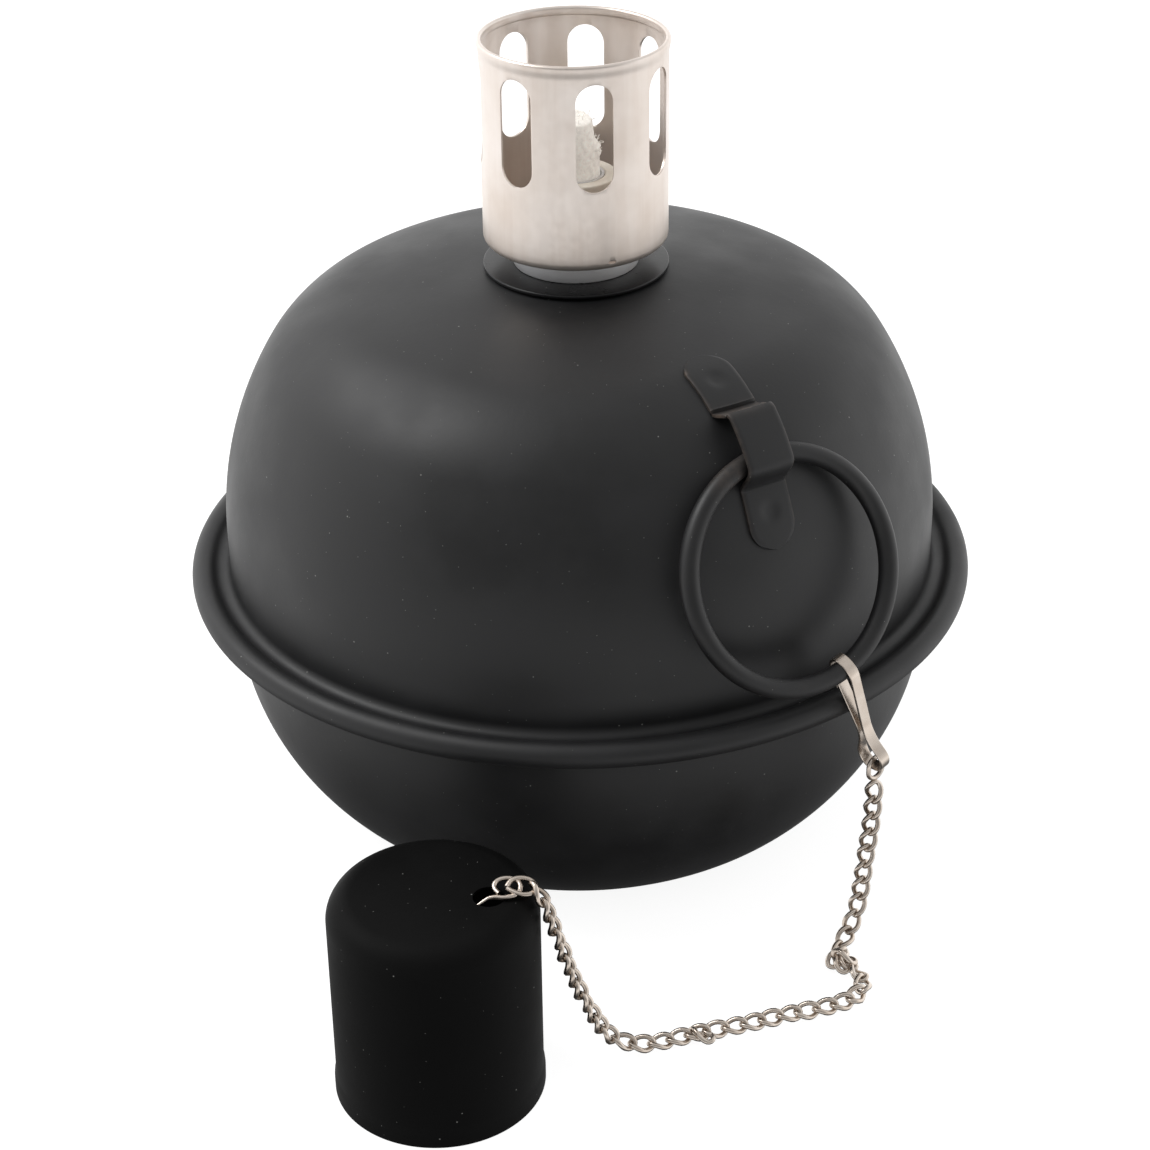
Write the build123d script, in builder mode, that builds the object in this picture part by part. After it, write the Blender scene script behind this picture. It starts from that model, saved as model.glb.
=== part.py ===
from build123d import *
import os
from math import acos, asin, cos, degrees, pi, radians, sin, sqrt, tan

# Round tabletop oil torch of pressed steel: a two-shell reservoir joined by a rolled
# seam, a drop-in wick burner inside a slotted wind guard, a carrying ring held by a
# welded strap, and a snuffer cap kept on a twisted chain with a spring clip.
#
# Frame: millimetres, origin at the centre of the flat base, +Z up, front towards -Y.
# An azimuth is measured about Z from the front, positive towards +X.

os.makedirs("parts", exist_ok=True)

# ---- reservoir shells ----
sheet = 0.7                  # thickness of the pressed sheet
wall_radius = 69.4           # upper shell's wall where it meets the seam
side_start = 61.6            # height at which the upper wall starts to lean in
side_curve = 66.0            # radius of the leaning side
side_lean = 31.35            # lean at which the side passes into the shoulder
shoulder_curve = 27.8        # radius of the shoulder
shoulder_lean = 76.7         # lean at which the shoulder passes into the crown
seam_height = 51.5           # centre of the rolled seam above the base
seam_overhang = 5.2          # centre of the roll outside the wall
seam_roll = 2.4              # outside radius of the roll
seam_hollow = 1.8            # hollow fillet between the wall and the roll
seam_gap = 0.02              # play between the crimped sheets
bowl_inset = 0.4             # lower bowl's wall inside the upper wall
bowl_curve = 51.5            # radius of the bowl's side
bowl_lean = 56.5             # lean at which the bowl's side passes into the base curve
base_curve = 4.0             # radius between the side and the flat base
flange_fillet = 1.0          # outside fillet under the bowl's flange

# ---- neck and burner ----
bore_radius = 10.2           # inside of the neck, where the burner drops in
neck_wall = 0.8
neck_depth = 9.0             # neck below its plate
neck_fit = 0.05              # shell's mouth round the neck
plate_radius = 17.5
plate_thickness = 0.7
plate_edge = 0.25            # rounding of the plate's rim
burner_fit = 0.06            # running fit of the burner in the neck
collar_radius = 11.85
collar_height = 4.4          # collar between the neck plate and the guard
collar_wall = 0.8
plug_depth = 8.0             # collar below the plate
wick_radius = 4.8
wick_fit = 0.1               # wick in its tube
tube_wall = 0.6
tube_fit = 0.02
tube_top = 131.0 - 118.2     # tube above the guard's underside
tube_tail = 4.0              # tube below the collar's plug
tube_flange = 7.6            # flange that clamps the guard's floor
flange_thickness = 0.6
ring_radius = 7.8            # wick ring
ring_depth = 2.0
ring_round = 0.35
wick_rise = 11.0             # wick above the tube
wick_floor_gap = 5.3         # wick above the bowl's floor

# ---- wind guard ----
guard_radius = 17.35         # outside of the guard's wall
guard_height = 39.0
guard_sheet = 0.45
guard_corner = 1.6           # rounding of the guard's lower edge
hem_height = 2.2             # folded hem outside
hem_inner_height = 1.6       # folded hem inside
hem_proud = 0.28             # hem outside and inside the wall
slot_count = 7
slot_pitch = 50.0            # one gap is wider, where the guard's seam is
slot_first = 122.1           # azimuth of the first slot
slot_width = 6.9
slot_height = 20.2
slot_floor = 15.3            # lower end of the slots above the guard's underside
notch_azimuth = 22.3
notch_width = 1.4
notch_height = 0.5

# ---- strap and carrying ring ----
strap_azimuth = 31.4
strap_width = 9.4
strap_thickness = 0.7
strap_top = 24.0             # distances along the shell, up from the shoulder's foot
strap_foot_up = 9.9
hump_top = 8.6
ring_seat = 1.3              # carrying ring's wire along the shell
hump_tuck = 0.1              # hump's lower bend inside the wire's edge
strap_foot_down = -4.4
strap_bottom = -15.0
hump_room = 1.1              # clear height inside the hump, over the wire
bend_round = 0.45
dimple_radius = 1.5
dimple_depth = 0.28
dimples_at = (17.4, -8.1)
wire_radius = 1.8
handle_radius = 20.9         # centre line of the carrying ring
handle_gap = 0.15            # wire above the shell under the hump
handle_azimuth = 32.0        # direction in which the ring stands out
handle_tilt = 24.0           # ring's plane out from plumb
handle_turn = 3.0            # ring's centre off the strap, round the ring

# ---- spring clip ----
clip_station = 162.0         # place on the ring, from its top
clip_tilt = 6.5              # clip out from plumb, resting beside the seam
clip_width = 2.2
clip_sheet = 0.5
clip_drop = 0.4              # hook's centre below the wire's centre
hook_play = 0.5              # strip's inside clear of the ring's wire
hook_tip = (-0.15, -4.6)     # strip's outer end, out from the hook and down
clip_loop = ((0.5, -14.3), (3.7, -18.8), (2.2, -23.0), (-2.3, -23.0), (-3.6, -18.6), (-0.42, -13.8))
clip_tongue = (-2.1, -2.9)   # strip's inner end, under the wire
clip_bends = (2.4, 2.4, 5.0, 2.4, 1.6, 1.6, 2.4, 5.0)

# ---- snuffer cap ----
cap_gap = 25.5               # cap's axis out from the seam's roll
cap_azimuth = -14.6
cap_fit = 0.2                # cap round the guard's hem
cap_wall = 0.5
cap_height = 40.5
cap_shoulder = 4.5
lip_proud = 0.3
lip_height = 3.0
hole_radius = 2.8
hole_offset = (9.7, -1.5)    # centre of the chain's hole from the cap's axis

# ---- chain ----
chain_diameter = 3.0
link_wire = 0.9
link_length = 5.4            # outside length of the link in the clip
link_play = 0.2              # link round the clip's strip
join_gap = 0.3               # chain's tube clear of the link it hangs on
hook_gap = 0.15              # opened link clear of the cap's top
hook_start = (3.6, -4.3)     # opened link's end under the cap's top, from the cap's axis
hook_inside = (7.6, -3.0)
hook_edge = (9.6, -1.9)
hook_along = (13.6, -1.6)
hook_eye = ((16.2, -0.6), (15.6, 1.8))
hook_back = ((12.6, 1.4), (10.4, 0.0))
hook_lift = 0.2              # eye above the rest of the link
hook_bends = (0.9, 0.9, 1.3, 1.1, 1.1, 0.9)

chain_points = (
    (53.5, -59.8, 27.0), (52.4, -60.5, 18.5), (51.8, -61.1, 10.0),
    (50.0, -63.0, 3.4), (46.2, -69.6, 1.9), (51.2, -73.4, 1.8), (51.4, -79.6, 1.8),
    (45.6, -83.2, 1.8), (37.0, -85.2, 1.8), (28.0, -88.4, 1.8), (19.2, -90.4, 1.8),
    (10.6, -93.9, 1.8), (4.4, -93.6, 3.2), (0.9, -96.0, 11.5), (-2.2, -98.0, 21.0),
    (-4.6, -100.0, 31.0),
)
chain_end_points = (
    (-4.6, -100.0, 31.0), (-5.8, -101.0, 36.0), (-6.9, -101.2, 40.6), (-8.6, -99.9, 42.2),
)

# ---- worked out from the above ----
side_centre = (wall_radius - side_curve, side_start)
shoulder_centre = (
    side_centre[0] + (side_curve - shoulder_curve) * cos(radians(side_lean)),
    side_centre[1] + (side_curve - shoulder_curve) * sin(radians(side_lean)),
)
crown_curve = shoulder_curve + shoulder_centre[0] / cos(radians(shoulder_lean))
crown_centre = (0, shoulder_centre[1] - (crown_curve - shoulder_curve) * sin(radians(shoulder_lean)))
roll_centre = (wall_radius + seam_overhang, seam_height)
hollow_run = seam_overhang - seam_hollow
hollow_rise = sqrt((seam_hollow + seam_roll) ** 2 - hollow_run**2)
hollow_centre = (wall_radius + seam_hollow, seam_height + hollow_rise)
hollow_angle = degrees(asin(hollow_rise / (seam_hollow + seam_roll)))
flange_top = hollow_centre[1] - seam_hollow - sheet - seam_gap
flange_bottom = flange_top - sheet
lip_angle = degrees(asin((seam_height - flange_bottom + seam_gap) / (seam_roll - sheet)))
flange_radius = roll_centre[0] + sqrt((seam_roll - sheet) ** 2 - (seam_height - flange_bottom) ** 2) - 0.3
bowl_radius = wall_radius - bowl_inset
bowl_start = bowl_curve * sin(radians(bowl_lean)) + base_curve * (1 - sin(radians(bowl_lean)))
base_centre = (
    bowl_radius - bowl_curve + (bowl_curve - base_curve) * cos(radians(bowl_lean)),
    base_curve,
)
neck_radius = bore_radius + neck_wall
mouth_radius = neck_radius + neck_fit
plate_base = crown_centre[1] + sqrt(crown_curve**2 - mouth_radius**2)
plate_top = plate_base + plate_thickness
collar_top = plate_top + collar_height
plug_radius = bore_radius - burner_fit
plug_bottom = plate_top - plug_depth
tube_bore = wick_radius + wick_fit
tube_radius = tube_bore + tube_wall
guard_base = collar_top
guard_top = guard_base + guard_height
floor_top = guard_base + guard_sheet
cap_bore = guard_radius + hem_proud + cap_fit
cap_radius = cap_bore + cap_wall
cap_distance = wall_radius + seam_overhang + seam_roll + cap_gap
cap_axis = (cap_distance * sin(radians(cap_azimuth)), -cap_distance * cos(radians(cap_azimuth)))


def outward(azimuth):
    """Level unit vector that points out at an azimuth."""
    return Vector(sin(radians(azimuth)), -cos(radians(azimuth)), 0)


def meridian(azimuth):
    """Upright half plane at an azimuth: local X runs out, local Y runs up."""
    return Plane(origin=(0, 0, 0), x_dir=outward(azimuth), z_dir=outward(azimuth - 90))


def facing(azimuth, height):
    """Upright plane through the axis that faces out at an azimuth, local Y up."""
    return Plane(origin=(0, 0, height), x_dir=outward(azimuth + 90), z_dir=outward(azimuth))


def shell_lean(distance):
    """Lean of the upper shell at a distance up from the shoulder's foot."""
    shoulder_length = radians(shoulder_lean - side_lean) * shoulder_curve
    if distance < 0:
        return side_lean + degrees(distance / side_curve)
    if distance < shoulder_length:
        return side_lean + degrees(distance / shoulder_curve)
    return shoulder_lean + degrees((distance - shoulder_length) / crown_curve)


def shell_arc(distance):
    """Centre and radius of the shell's arc at that distance."""
    shoulder_length = radians(shoulder_lean - side_lean) * shoulder_curve
    if distance < 0:
        return side_centre, side_curve
    if distance < shoulder_length:
        return shoulder_centre, shoulder_curve
    return crown_centre, crown_curve


def shell_point(distance, lift):
    """Point (radius, height) at that distance, lifted off the shell."""
    centre, curve = shell_arc(distance)
    lean = radians(shell_lean(distance))
    return (centre[0] + (curve + lift) * cos(lean), centre[1] + (curve + lift) * sin(lean))


def in_space(azimuth, point):
    """Point in space of a (radius, height) at an azimuth."""
    return outward(azimuth) * point[0] + Vector(0, 0, point[1])


# ---- upper shell ----
def upper_run(inset):
    """Upper shell from its mouth to the lip of the roll, moved in by inset."""
    curve = crown_curve - inset
    mouth = degrees(acos(mouth_radius / curve))
    crown = CenterArc(crown_centre, curve, mouth, shoulder_lean - mouth)
    CenterArc(shoulder_centre, shoulder_curve - inset, shoulder_lean, side_lean - shoulder_lean)
    side = CenterArc(side_centre, side_curve - inset, side_lean, -side_lean)
    Line(side @ 1, (wall_radius - inset, hollow_centre[1]))
    CenterArc(hollow_centre, seam_hollow + inset, 180, 180 - hollow_angle)
    turn = 360 - hollow_angle - lip_angle
    roll = CenterArc(roll_centre, seam_roll - inset, 180 - hollow_angle, -turn)
    return crown @ 0, roll @ 1


with BuildPart() as upper_shell:
    with BuildSketch(Plane.XZ):
        with BuildLine():
            outer_mouth, outer_lip = upper_run(0)
            inner_mouth, inner_lip = upper_run(sheet)
            Line(outer_mouth, inner_mouth)
            Line(outer_lip, inner_lip)
        make_face()
    revolve(axis=Axis.Z)


# ---- lower bowl ----
def bowl_run(inset):
    """Bowl's wall from the flange to the middle of the base, moved in by inset."""
    wall = Line(
        (bowl_radius - inset, flange_bottom - flange_fillet),
        (bowl_radius - inset, bowl_start),
    )
    CenterArc((bowl_radius - bowl_curve, bowl_start), bowl_curve - inset, 0, -bowl_lean)
    foot = CenterArc(base_centre, base_curve - inset, -bowl_lean, bowl_lean - 90)
    Line(foot @ 1, (0, inset))
    return wall @ 0


with BuildPart() as lower_bowl:
    with BuildSketch(Plane.XZ):
        with BuildLine():
            outer_top = bowl_run(0)
            inner_top = bowl_run(sheet)
            fillet_centre = (bowl_radius + flange_fillet, flange_bottom - flange_fillet)
            under = CenterArc(fillet_centre, flange_fillet, 180, -90)
            over = CenterArc(fillet_centre, flange_fillet + sheet, 180, -90)
            Line(under @ 1, (flange_radius, flange_bottom))
            Line((flange_radius, flange_bottom), (flange_radius, flange_top))
            Line((flange_radius, flange_top), over @ 1)
            Line((0, 0), (0, sheet))
        make_face()
    revolve(axis=Axis.Z)


# ---- neck plate ----
with BuildPart() as neck_plate:
    with BuildSketch(Plane.XZ):
        with BuildLine():
            Polyline(
                (bore_radius, plate_top),
                (plate_radius, plate_top),
                (plate_radius, plate_base),
                (neck_radius, plate_base),
                (neck_radius, plate_base - neck_depth),
                (bore_radius, plate_base - neck_depth),
                close=True,
            )
        make_face()
    revolve(axis=Axis.Z)
    rim = neck_plate.edges().filter_by(GeomType.CIRCLE)
    fillet(rim.filter_by(lambda edge: edge.radius > plate_radius - plate_edge), plate_edge)


# ---- burner collar: a drawn cup that stands on the plate and plugs the neck ----
with BuildPart() as burner_collar:
    with BuildSketch(Plane.XZ):
        with BuildLine():
            Polyline(
                (tube_radius + tube_fit, collar_top),
                (collar_radius, collar_top),
                (collar_radius, plate_top),
                (plug_radius, plate_top),
                (plug_radius, plug_bottom),
                (tube_radius + tube_fit, plug_bottom),
                (tube_radius + tube_fit, plug_bottom + collar_wall),
                (plug_radius - collar_wall, plug_bottom + collar_wall),
                (plug_radius - collar_wall, collar_top - collar_wall),
                (tube_radius + tube_fit, collar_top - collar_wall),
                close=True,
            )
        make_face()
    revolve(axis=Axis.Z)


# ---- wind guard: a drawn cup with a folded hem and slots ----
with BuildPart() as wind_guard:
    with BuildSketch(Plane.XZ) as guard_section:
        with BuildLine():
            inner_wall = guard_radius - guard_sheet
            corner = (guard_radius - guard_corner, guard_base + guard_corner)
            outside = CenterArc(corner, guard_corner, 270, 90)
            inside = CenterArc(corner, guard_corner - guard_sheet, 270, 90)
            Polyline(
                outside @ 1,
                (guard_radius, guard_top - hem_height),
                (guard_radius + hem_proud, guard_top - hem_height),
                (guard_radius + hem_proud, guard_top),
                (inner_wall - hem_proud, guard_top),
                (inner_wall - hem_proud, guard_top - hem_inner_height),
                (inner_wall, guard_top - hem_inner_height),
                inside @ 1,
            )
            Polyline(
                inside @ 0,
                (tube_radius + tube_fit, floor_top),
                (tube_radius + tube_fit, guard_base),
                outside @ 0,
            )
        make_face()
        crest = guard_section.vertices().group_by(Axis.Y)[-1]
        fillet(crest, guard_sheet / 2 + hem_proud - 0.05)
    revolve(axis=Axis.Z)
    for index in range(slot_count):
        azimuth = slot_first + index * slot_pitch
        middle = guard_base + slot_floor + slot_height / 2
        with BuildSketch(facing(azimuth, middle)):
            SlotOverall(slot_height, slot_width, rotation=90)
        extrude(amount=guard_radius + guard_corner, mode=Mode.SUBTRACT)
    with BuildSketch(facing(notch_azimuth, guard_base + guard_corner)):
        Rectangle(notch_width, notch_height)
    extrude(amount=guard_radius + guard_corner, mode=Mode.SUBTRACT)


# ---- wick tube, wick ring and wick ----
with BuildPart() as wick_tube:
    with BuildSketch(Plane.XZ):
        with BuildLine():
            Polyline(
                (tube_bore, guard_base + tube_top),
                (tube_radius, guard_base + tube_top),
                (tube_radius, floor_top + flange_thickness),
                (tube_flange, floor_top + flange_thickness),
                (tube_flange, floor_top),
                (tube_radius, floor_top),
                (tube_radius, plug_bottom - tube_tail),
                (tube_bore, plug_bottom - tube_tail),
                close=True,
            )
        make_face()
    revolve(axis=Axis.Z)

with BuildPart() as wick_ring:
    with BuildSketch(Plane.XY.offset(guard_base + tube_top - ring_depth)):
        Circle(ring_radius)
        Circle(tube_radius + tube_fit, mode=Mode.SUBTRACT)
    extrude(amount=ring_depth)
    fillet(wick_ring.edges().filter_by(GeomType.CIRCLE), ring_round)

with BuildPart() as wick:
    with BuildSketch(Plane.XY.offset(sheet + wick_floor_gap)):
        Circle(wick_radius)
    extrude(amount=guard_base + tube_top + wick_rise - sheet - wick_floor_gap)
    fillet(wick.faces().sort_by(Axis.Z)[-1].edges(), wick_radius / 4)


# ---- handle strap: a strip that follows the shell, with a hump over the ring ----
step_up_shift = strap_thickness * tan(radians(35))
step_down_shift = strap_thickness * tan(radians(24))
hump_clear = 2 * wire_radius + hump_room
hump_foot = ring_seat - wire_radius + hump_tuck


def strap_run(lift):
    """Strap's surface at a lift above its underside, from the top end down."""
    shift = lift / strap_thickness
    top_lean = shell_lean(strap_top)
    crown = CenterArc(crown_centre, crown_curve + lift, top_lean, shoulder_lean - top_lean)
    foot_up = shell_lean(strap_foot_up + shift * step_up_shift)
    upper = CenterArc(shoulder_centre, shoulder_curve + lift, shoulder_lean, foot_up - shoulder_lean)
    hump_start = shell_lean(hump_top + shift * step_up_shift)
    hump_end = shell_lean(hump_foot)
    hump_curve = shoulder_curve + hump_clear + lift
    hump = CenterArc(shoulder_centre, hump_curve, hump_start, hump_end - hump_start)
    foot_down = shell_lean(strap_foot_down - shift * step_down_shift)
    low_lean = shell_lean(strap_bottom)
    lower = CenterArc(side_centre, side_curve + lift, foot_down, low_lean - foot_down)
    Line(upper @ 1, hump @ 0)
    Line(hump @ 1, lower @ 0)
    return crown @ 0, lower @ 1, (upper @ 1, hump @ 0, hump @ 1, lower @ 0)


strap_half_angle = 9.0       # the strip is trimmed out of this much of the turned section
upper_end = shell_point(strap_top, 0)
lower_end = shell_point(strap_bottom, 0)
chord = Vector(lower_end[0] - upper_end[0], lower_end[1] - upper_end[1])
chord_middle = ((upper_end[0] + lower_end[0]) / 2, (upper_end[1] + lower_end[1]) / 2)
chord_direction = outward(strap_azimuth) * chord.X + Vector(0, 0, chord.Y)
chord_normal = outward(strap_azimuth) * -chord.Y + Vector(0, 0, chord.X)
trim_plane = Plane(
    origin=in_space(strap_azimuth, chord_middle), x_dir=chord_direction, z_dir=chord_normal
)

with BuildPart() as handle_strap:
    with BuildSketch(meridian(strap_azimuth - strap_half_angle)) as strap_section:
        with BuildLine() as strap_outline:
            under_top, under_bottom, under_bends = strap_run(0)
            over_top, over_bottom, over_bends = strap_run(strap_thickness)
            Line(under_top, over_top)
            Line(under_bottom, over_bottom)
        make_face()
    revolve(axis=Axis.Z, revolution_arc=2 * strap_half_angle)
    with BuildSketch(trim_plane):
        SlotOverall(chord.length, strap_width)
    extrude(amount=shoulder_curve / 2, both=True, mode=Mode.INTERSECT)
    for distance in dimples_at:
        dent = shell_point(distance, strap_thickness + dimple_radius - dimple_depth)
        with Locations(in_space(strap_azimuth, dent)):
            Sphere(dimple_radius, mode=Mode.SUBTRACT)


# ---- carrying ring ----
handle_pivot = in_space(strap_azimuth, shell_point(ring_seat, handle_gap + wire_radius))
hang = outward(handle_azimuth) * sin(radians(handle_tilt)) + Vector(0, 0, -cos(radians(handle_tilt)))
across = outward(handle_azimuth + 90)
to_centre = hang * cos(radians(handle_turn)) + across * sin(radians(handle_turn))
handle_axis = across * cos(radians(handle_turn)) - hang * sin(radians(handle_turn))
handle_centre = handle_pivot + to_centre * handle_radius
handle_plane = Plane(origin=handle_centre, x_dir=across, z_dir=across.cross(hang))

with BuildPart(handle_plane) as handle_ring:
    Torus(handle_radius, wire_radius)


# ---- spring clip: one strip bent to a hook, a loop and a tongue ----
station = radians(clip_station)
clip_pivot = handle_centre + (across * sin(station) - hang * cos(station)) * handle_radius
clip_axis = (hang * -sin(station) - across * cos(station)).normalized()
plumb = (Vector(0, 0, -1) + clip_axis * clip_axis.Z).normalized()
stand_off = plumb.cross(clip_axis)
lean = radians(clip_tilt)
clip_down = plumb * cos(lean) + stand_off * sin(lean)
clip_out = stand_off * cos(lean) - plumb * sin(lean)
clip_origin = clip_pivot + clip_down * clip_drop
clip_plane = Plane(origin=clip_origin, x_dir=clip_out, z_dir=clip_out.cross(-clip_down))

hook_radius = wire_radius + hook_play + clip_sheet / 2
loop_bottom = min(height for _, height in clip_loop)
loop_floor = clip_plane.from_local_coords((0, loop_bottom, 0))
with BuildPart() as spring_clip:
    with BuildSketch(clip_plane):
        with BuildLine():
            FilletPolyline(
                (hook_tip[0] - hook_radius, hook_tip[1]),
                (-hook_radius, hook_radius),
                (hook_radius, hook_radius),
                *clip_loop,
                clip_tongue,
                radius=clip_bends,
            )
        trace(line_width=clip_sheet)
    extrude(amount=clip_width / 2, both=True)


# ---- links at the two ends of the chain ----
strip_rise = clip_width / 2 * abs(clip_axis.Z)
link_width = clip_width + 2 * (link_wire + link_play)
arch_radius = clip_width / 2 + link_play
arch_drop = arch_radius - sqrt(arch_radius**2 - (clip_width / 2) ** 2)
link_top = clip_sheet / 2 + strip_rise + arch_drop + link_wire / 2 + link_play / 2
link_centre = loop_floor + Vector(0, 0, link_top - (link_length - link_wire) / 2)
link_plane = Plane(origin=link_centre, x_dir=Vector(0, 0, 1).cross(stand_off), z_dir=stand_off)


def wire_oval(length, width, wire):
    """Centre line of a closed oval link, long along local Y."""
    with BuildLine() as oval:
        half = (length - wire) / 2
        bend = (width - wire) / 2
        Line((bend, -(half - bend)), (bend, half - bend))
        CenterArc((0, half - bend), bend, 0, 180)
        Line((-bend, half - bend), (-bend, -(half - bend)))
        CenterArc((0, -(half - bend)), bend, 180, 180)
    return oval.wire()


with BuildPart() as clip_link:
    link_path = link_plane.from_local_coords(wire_oval(link_length, link_width, link_wire))
    with BuildSketch(Plane(origin=link_path @ 0, z_dir=link_path % 0)):
        Circle(link_wire / 2)
    sweep(path=link_path)

cap_top = Plane(origin=(cap_axis[0], cap_axis[1], cap_height))
hook_under = -cap_wall - link_wire / 2 - hook_gap
hook_over = link_wire / 2 + hook_gap
with BuildPart() as cap_link:
    with BuildLine(cap_top) as hook_line:
        FilletPolyline(
            (*hook_start, hook_under),
            (*hook_inside, hook_under),
            (*hook_edge, hook_over),
            (*hook_along, hook_over),
            *((across, back, hook_over + hook_lift) for across, back in hook_eye),
            *((across, back, hook_over) for across, back in hook_back),
            radius=hook_bends,
        )
    hook_path = hook_line.wire()
    with BuildSketch(Plane(origin=hook_path @ 0, z_dir=hook_path % 0)):
        Circle(link_wire / 2)
    sweep(path=hook_path)


# ---- snuffer cap ----
cap_base = Vector(cap_axis[0], cap_axis[1], 0)
with BuildPart() as snuffer_cap:
    with BuildSketch(Plane(origin=cap_base, x_dir=(1, 0, 0), z_dir=(0, -1, 0))):
        with BuildLine():
            shoulder = (cap_radius - cap_shoulder, cap_height - cap_shoulder)
            outside = CenterArc(shoulder, cap_shoulder, 0, 90)
            inside = CenterArc(shoulder, cap_shoulder - cap_wall, 0, 90)
            Polyline(
                outside @ 0,
                (cap_radius, lip_height + lip_proud),
                (cap_radius + lip_proud, lip_height),
                (cap_radius + lip_proud, 0),
                (cap_bore, 0),
                inside @ 0,
            )
            Polyline(
                inside @ 1,
                (0, cap_height - cap_wall),
                (0, cap_height),
                outside @ 1,
            )
        make_face()
    revolve(axis=Axis(cap_base, (0, 0, 1)))
    with BuildSketch(Plane(origin=cap_base + Vector(0, 0, cap_height / 2))):
        with Locations(hole_offset):
            Circle(hole_radius)
    extrude(amount=cap_height, mode=Mode.SUBTRACT)


# ---- chain, as plain tubes along its route ----
def corner_radii(points):
    """Arc at each corner: 0.45 of the shorter run, over the tangent of half the turn."""
    radii = []
    for before, corner, after in zip(points, points[1:], points[2:]):
        run_in = Vector(*corner) - Vector(*before)
        run_out = Vector(*after) - Vector(*corner)
        half_turn = radians(run_in.get_angle(run_out) / 2)
        radii.append(0.45 * min(run_in.length, run_out.length) / tan(half_turn))
    return radii


def chain_tube(points):
    """Tube of the chain's diameter along straight runs joined by tangent arcs."""
    radii = corner_radii(points)
    print("chain radii", [round(radius, 1) for radius in radii])
    with BuildPart() as tube:
        with BuildLine() as line:
            FilletPolyline(*points, radius=radii)
        path = line.wire()
        with BuildSketch(Plane(origin=path @ 0, z_dir=path % 0)):
            Circle(chain_diameter / 2)
        sweep(path=path)
    volume = path.length * pi * chain_diameter**2 / 4
    print("chain length", round(path.length, 1))
    print("volume ratio", round(tube.part.volume / volume, 4))
    return tube


chain_start = link_centre - Vector(0, 0, link_length / 2 + join_gap)
chain_run = chain_tube((tuple(chain_start),) + chain_points)
chain_end = chain_tube(chain_end_points)


# ---- labels and files ----
pieces = {
    "upper_shell": upper_shell,
    "lower_bowl": lower_bowl,
    "neck_plate": neck_plate,
    "burner_collar": burner_collar,
    "wind_guard": wind_guard,
    "wick_tube": wick_tube,
    "wick_ring": wick_ring,
    "wick": wick,
    "handle_strap": handle_strap,
    "handle_ring": handle_ring,
    "spring_clip": spring_clip,
    "clip_link": clip_link,
    "cap_link": cap_link,
    "snuffer_cap": snuffer_cap,
    "chain_run": chain_run,
    "chain_end": chain_end,
}
for name, piece in pieces.items():
    piece.part.label = name
    export_step(piece.part, f"parts/{name}.step")

print("handle pivot", handle_pivot, "axis", handle_axis)
print("clip pivot", clip_pivot, "axis", clip_axis)
print("cap axis", cap_axis, "guard top", guard_top, "plate top", plate_top)
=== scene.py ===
"""Looks of a tabletop oil torch: black enamelled pot, nickel wind guard, wick, ring, cap and chain."""

from math import acos, asin, atan2, cos, degrees, exp, hypot, pi, radians, sin, sqrt

import bmesh
import bpy
import numpy as np
from bpy.props import FloatProperty, FloatVectorProperty, IntProperty, PointerProperty
from mathutils import Matrix, Vector, noise


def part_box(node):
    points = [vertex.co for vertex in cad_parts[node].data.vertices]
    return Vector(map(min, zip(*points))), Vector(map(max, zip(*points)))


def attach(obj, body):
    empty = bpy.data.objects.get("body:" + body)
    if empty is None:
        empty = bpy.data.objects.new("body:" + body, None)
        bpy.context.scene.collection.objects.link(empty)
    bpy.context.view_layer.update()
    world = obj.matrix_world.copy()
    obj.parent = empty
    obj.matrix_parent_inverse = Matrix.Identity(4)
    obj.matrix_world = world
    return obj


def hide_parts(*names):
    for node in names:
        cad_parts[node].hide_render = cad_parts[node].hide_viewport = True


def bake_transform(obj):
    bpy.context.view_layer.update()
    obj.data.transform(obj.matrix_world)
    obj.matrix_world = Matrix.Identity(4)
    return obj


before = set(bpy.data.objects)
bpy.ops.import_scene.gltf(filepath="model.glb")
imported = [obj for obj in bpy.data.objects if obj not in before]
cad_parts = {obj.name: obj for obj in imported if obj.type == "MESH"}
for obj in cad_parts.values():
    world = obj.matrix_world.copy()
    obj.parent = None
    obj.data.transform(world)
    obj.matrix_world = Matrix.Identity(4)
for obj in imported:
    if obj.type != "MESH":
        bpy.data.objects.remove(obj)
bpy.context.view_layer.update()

bl_info = {
    "name": "Tabletop oil torch",
    "version": (1, 0, 0),
    "blender": (4, 5, 0),
    "location": "3D View > Sidebar > Oil torch",
    "description": "Makes the visible pieces of a tabletop oil torch round its fixed frame",
    "category": "Object",
}

MM = 0.001


# ------------------------------------------------------------------ sizes, in millimetres
# reservoir shells
SHEET = 0.7
WALL = 69.4                  # upper wall's radius
SIDE_START = 61.6
SIDE_CURVE, SIDE_LEAN = 66.0, 31.35
SHOULDER_CURVE, SHOULDER_LEAN = 27.8, 76.7
SEAM_HEIGHT, SEAM_OVERHANG, SEAM_ROLL, SEAM_HOLLOW, SEAM_GAP = 51.5, 5.2, 2.4, 1.8, 0.02
BOWL_INSET, BOWL_CURVE, BOWL_LEAN, BASE_CURVE, FLANGE_FILLET = 0.4, 51.5, 56.5, 4.0, 1.0

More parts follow.
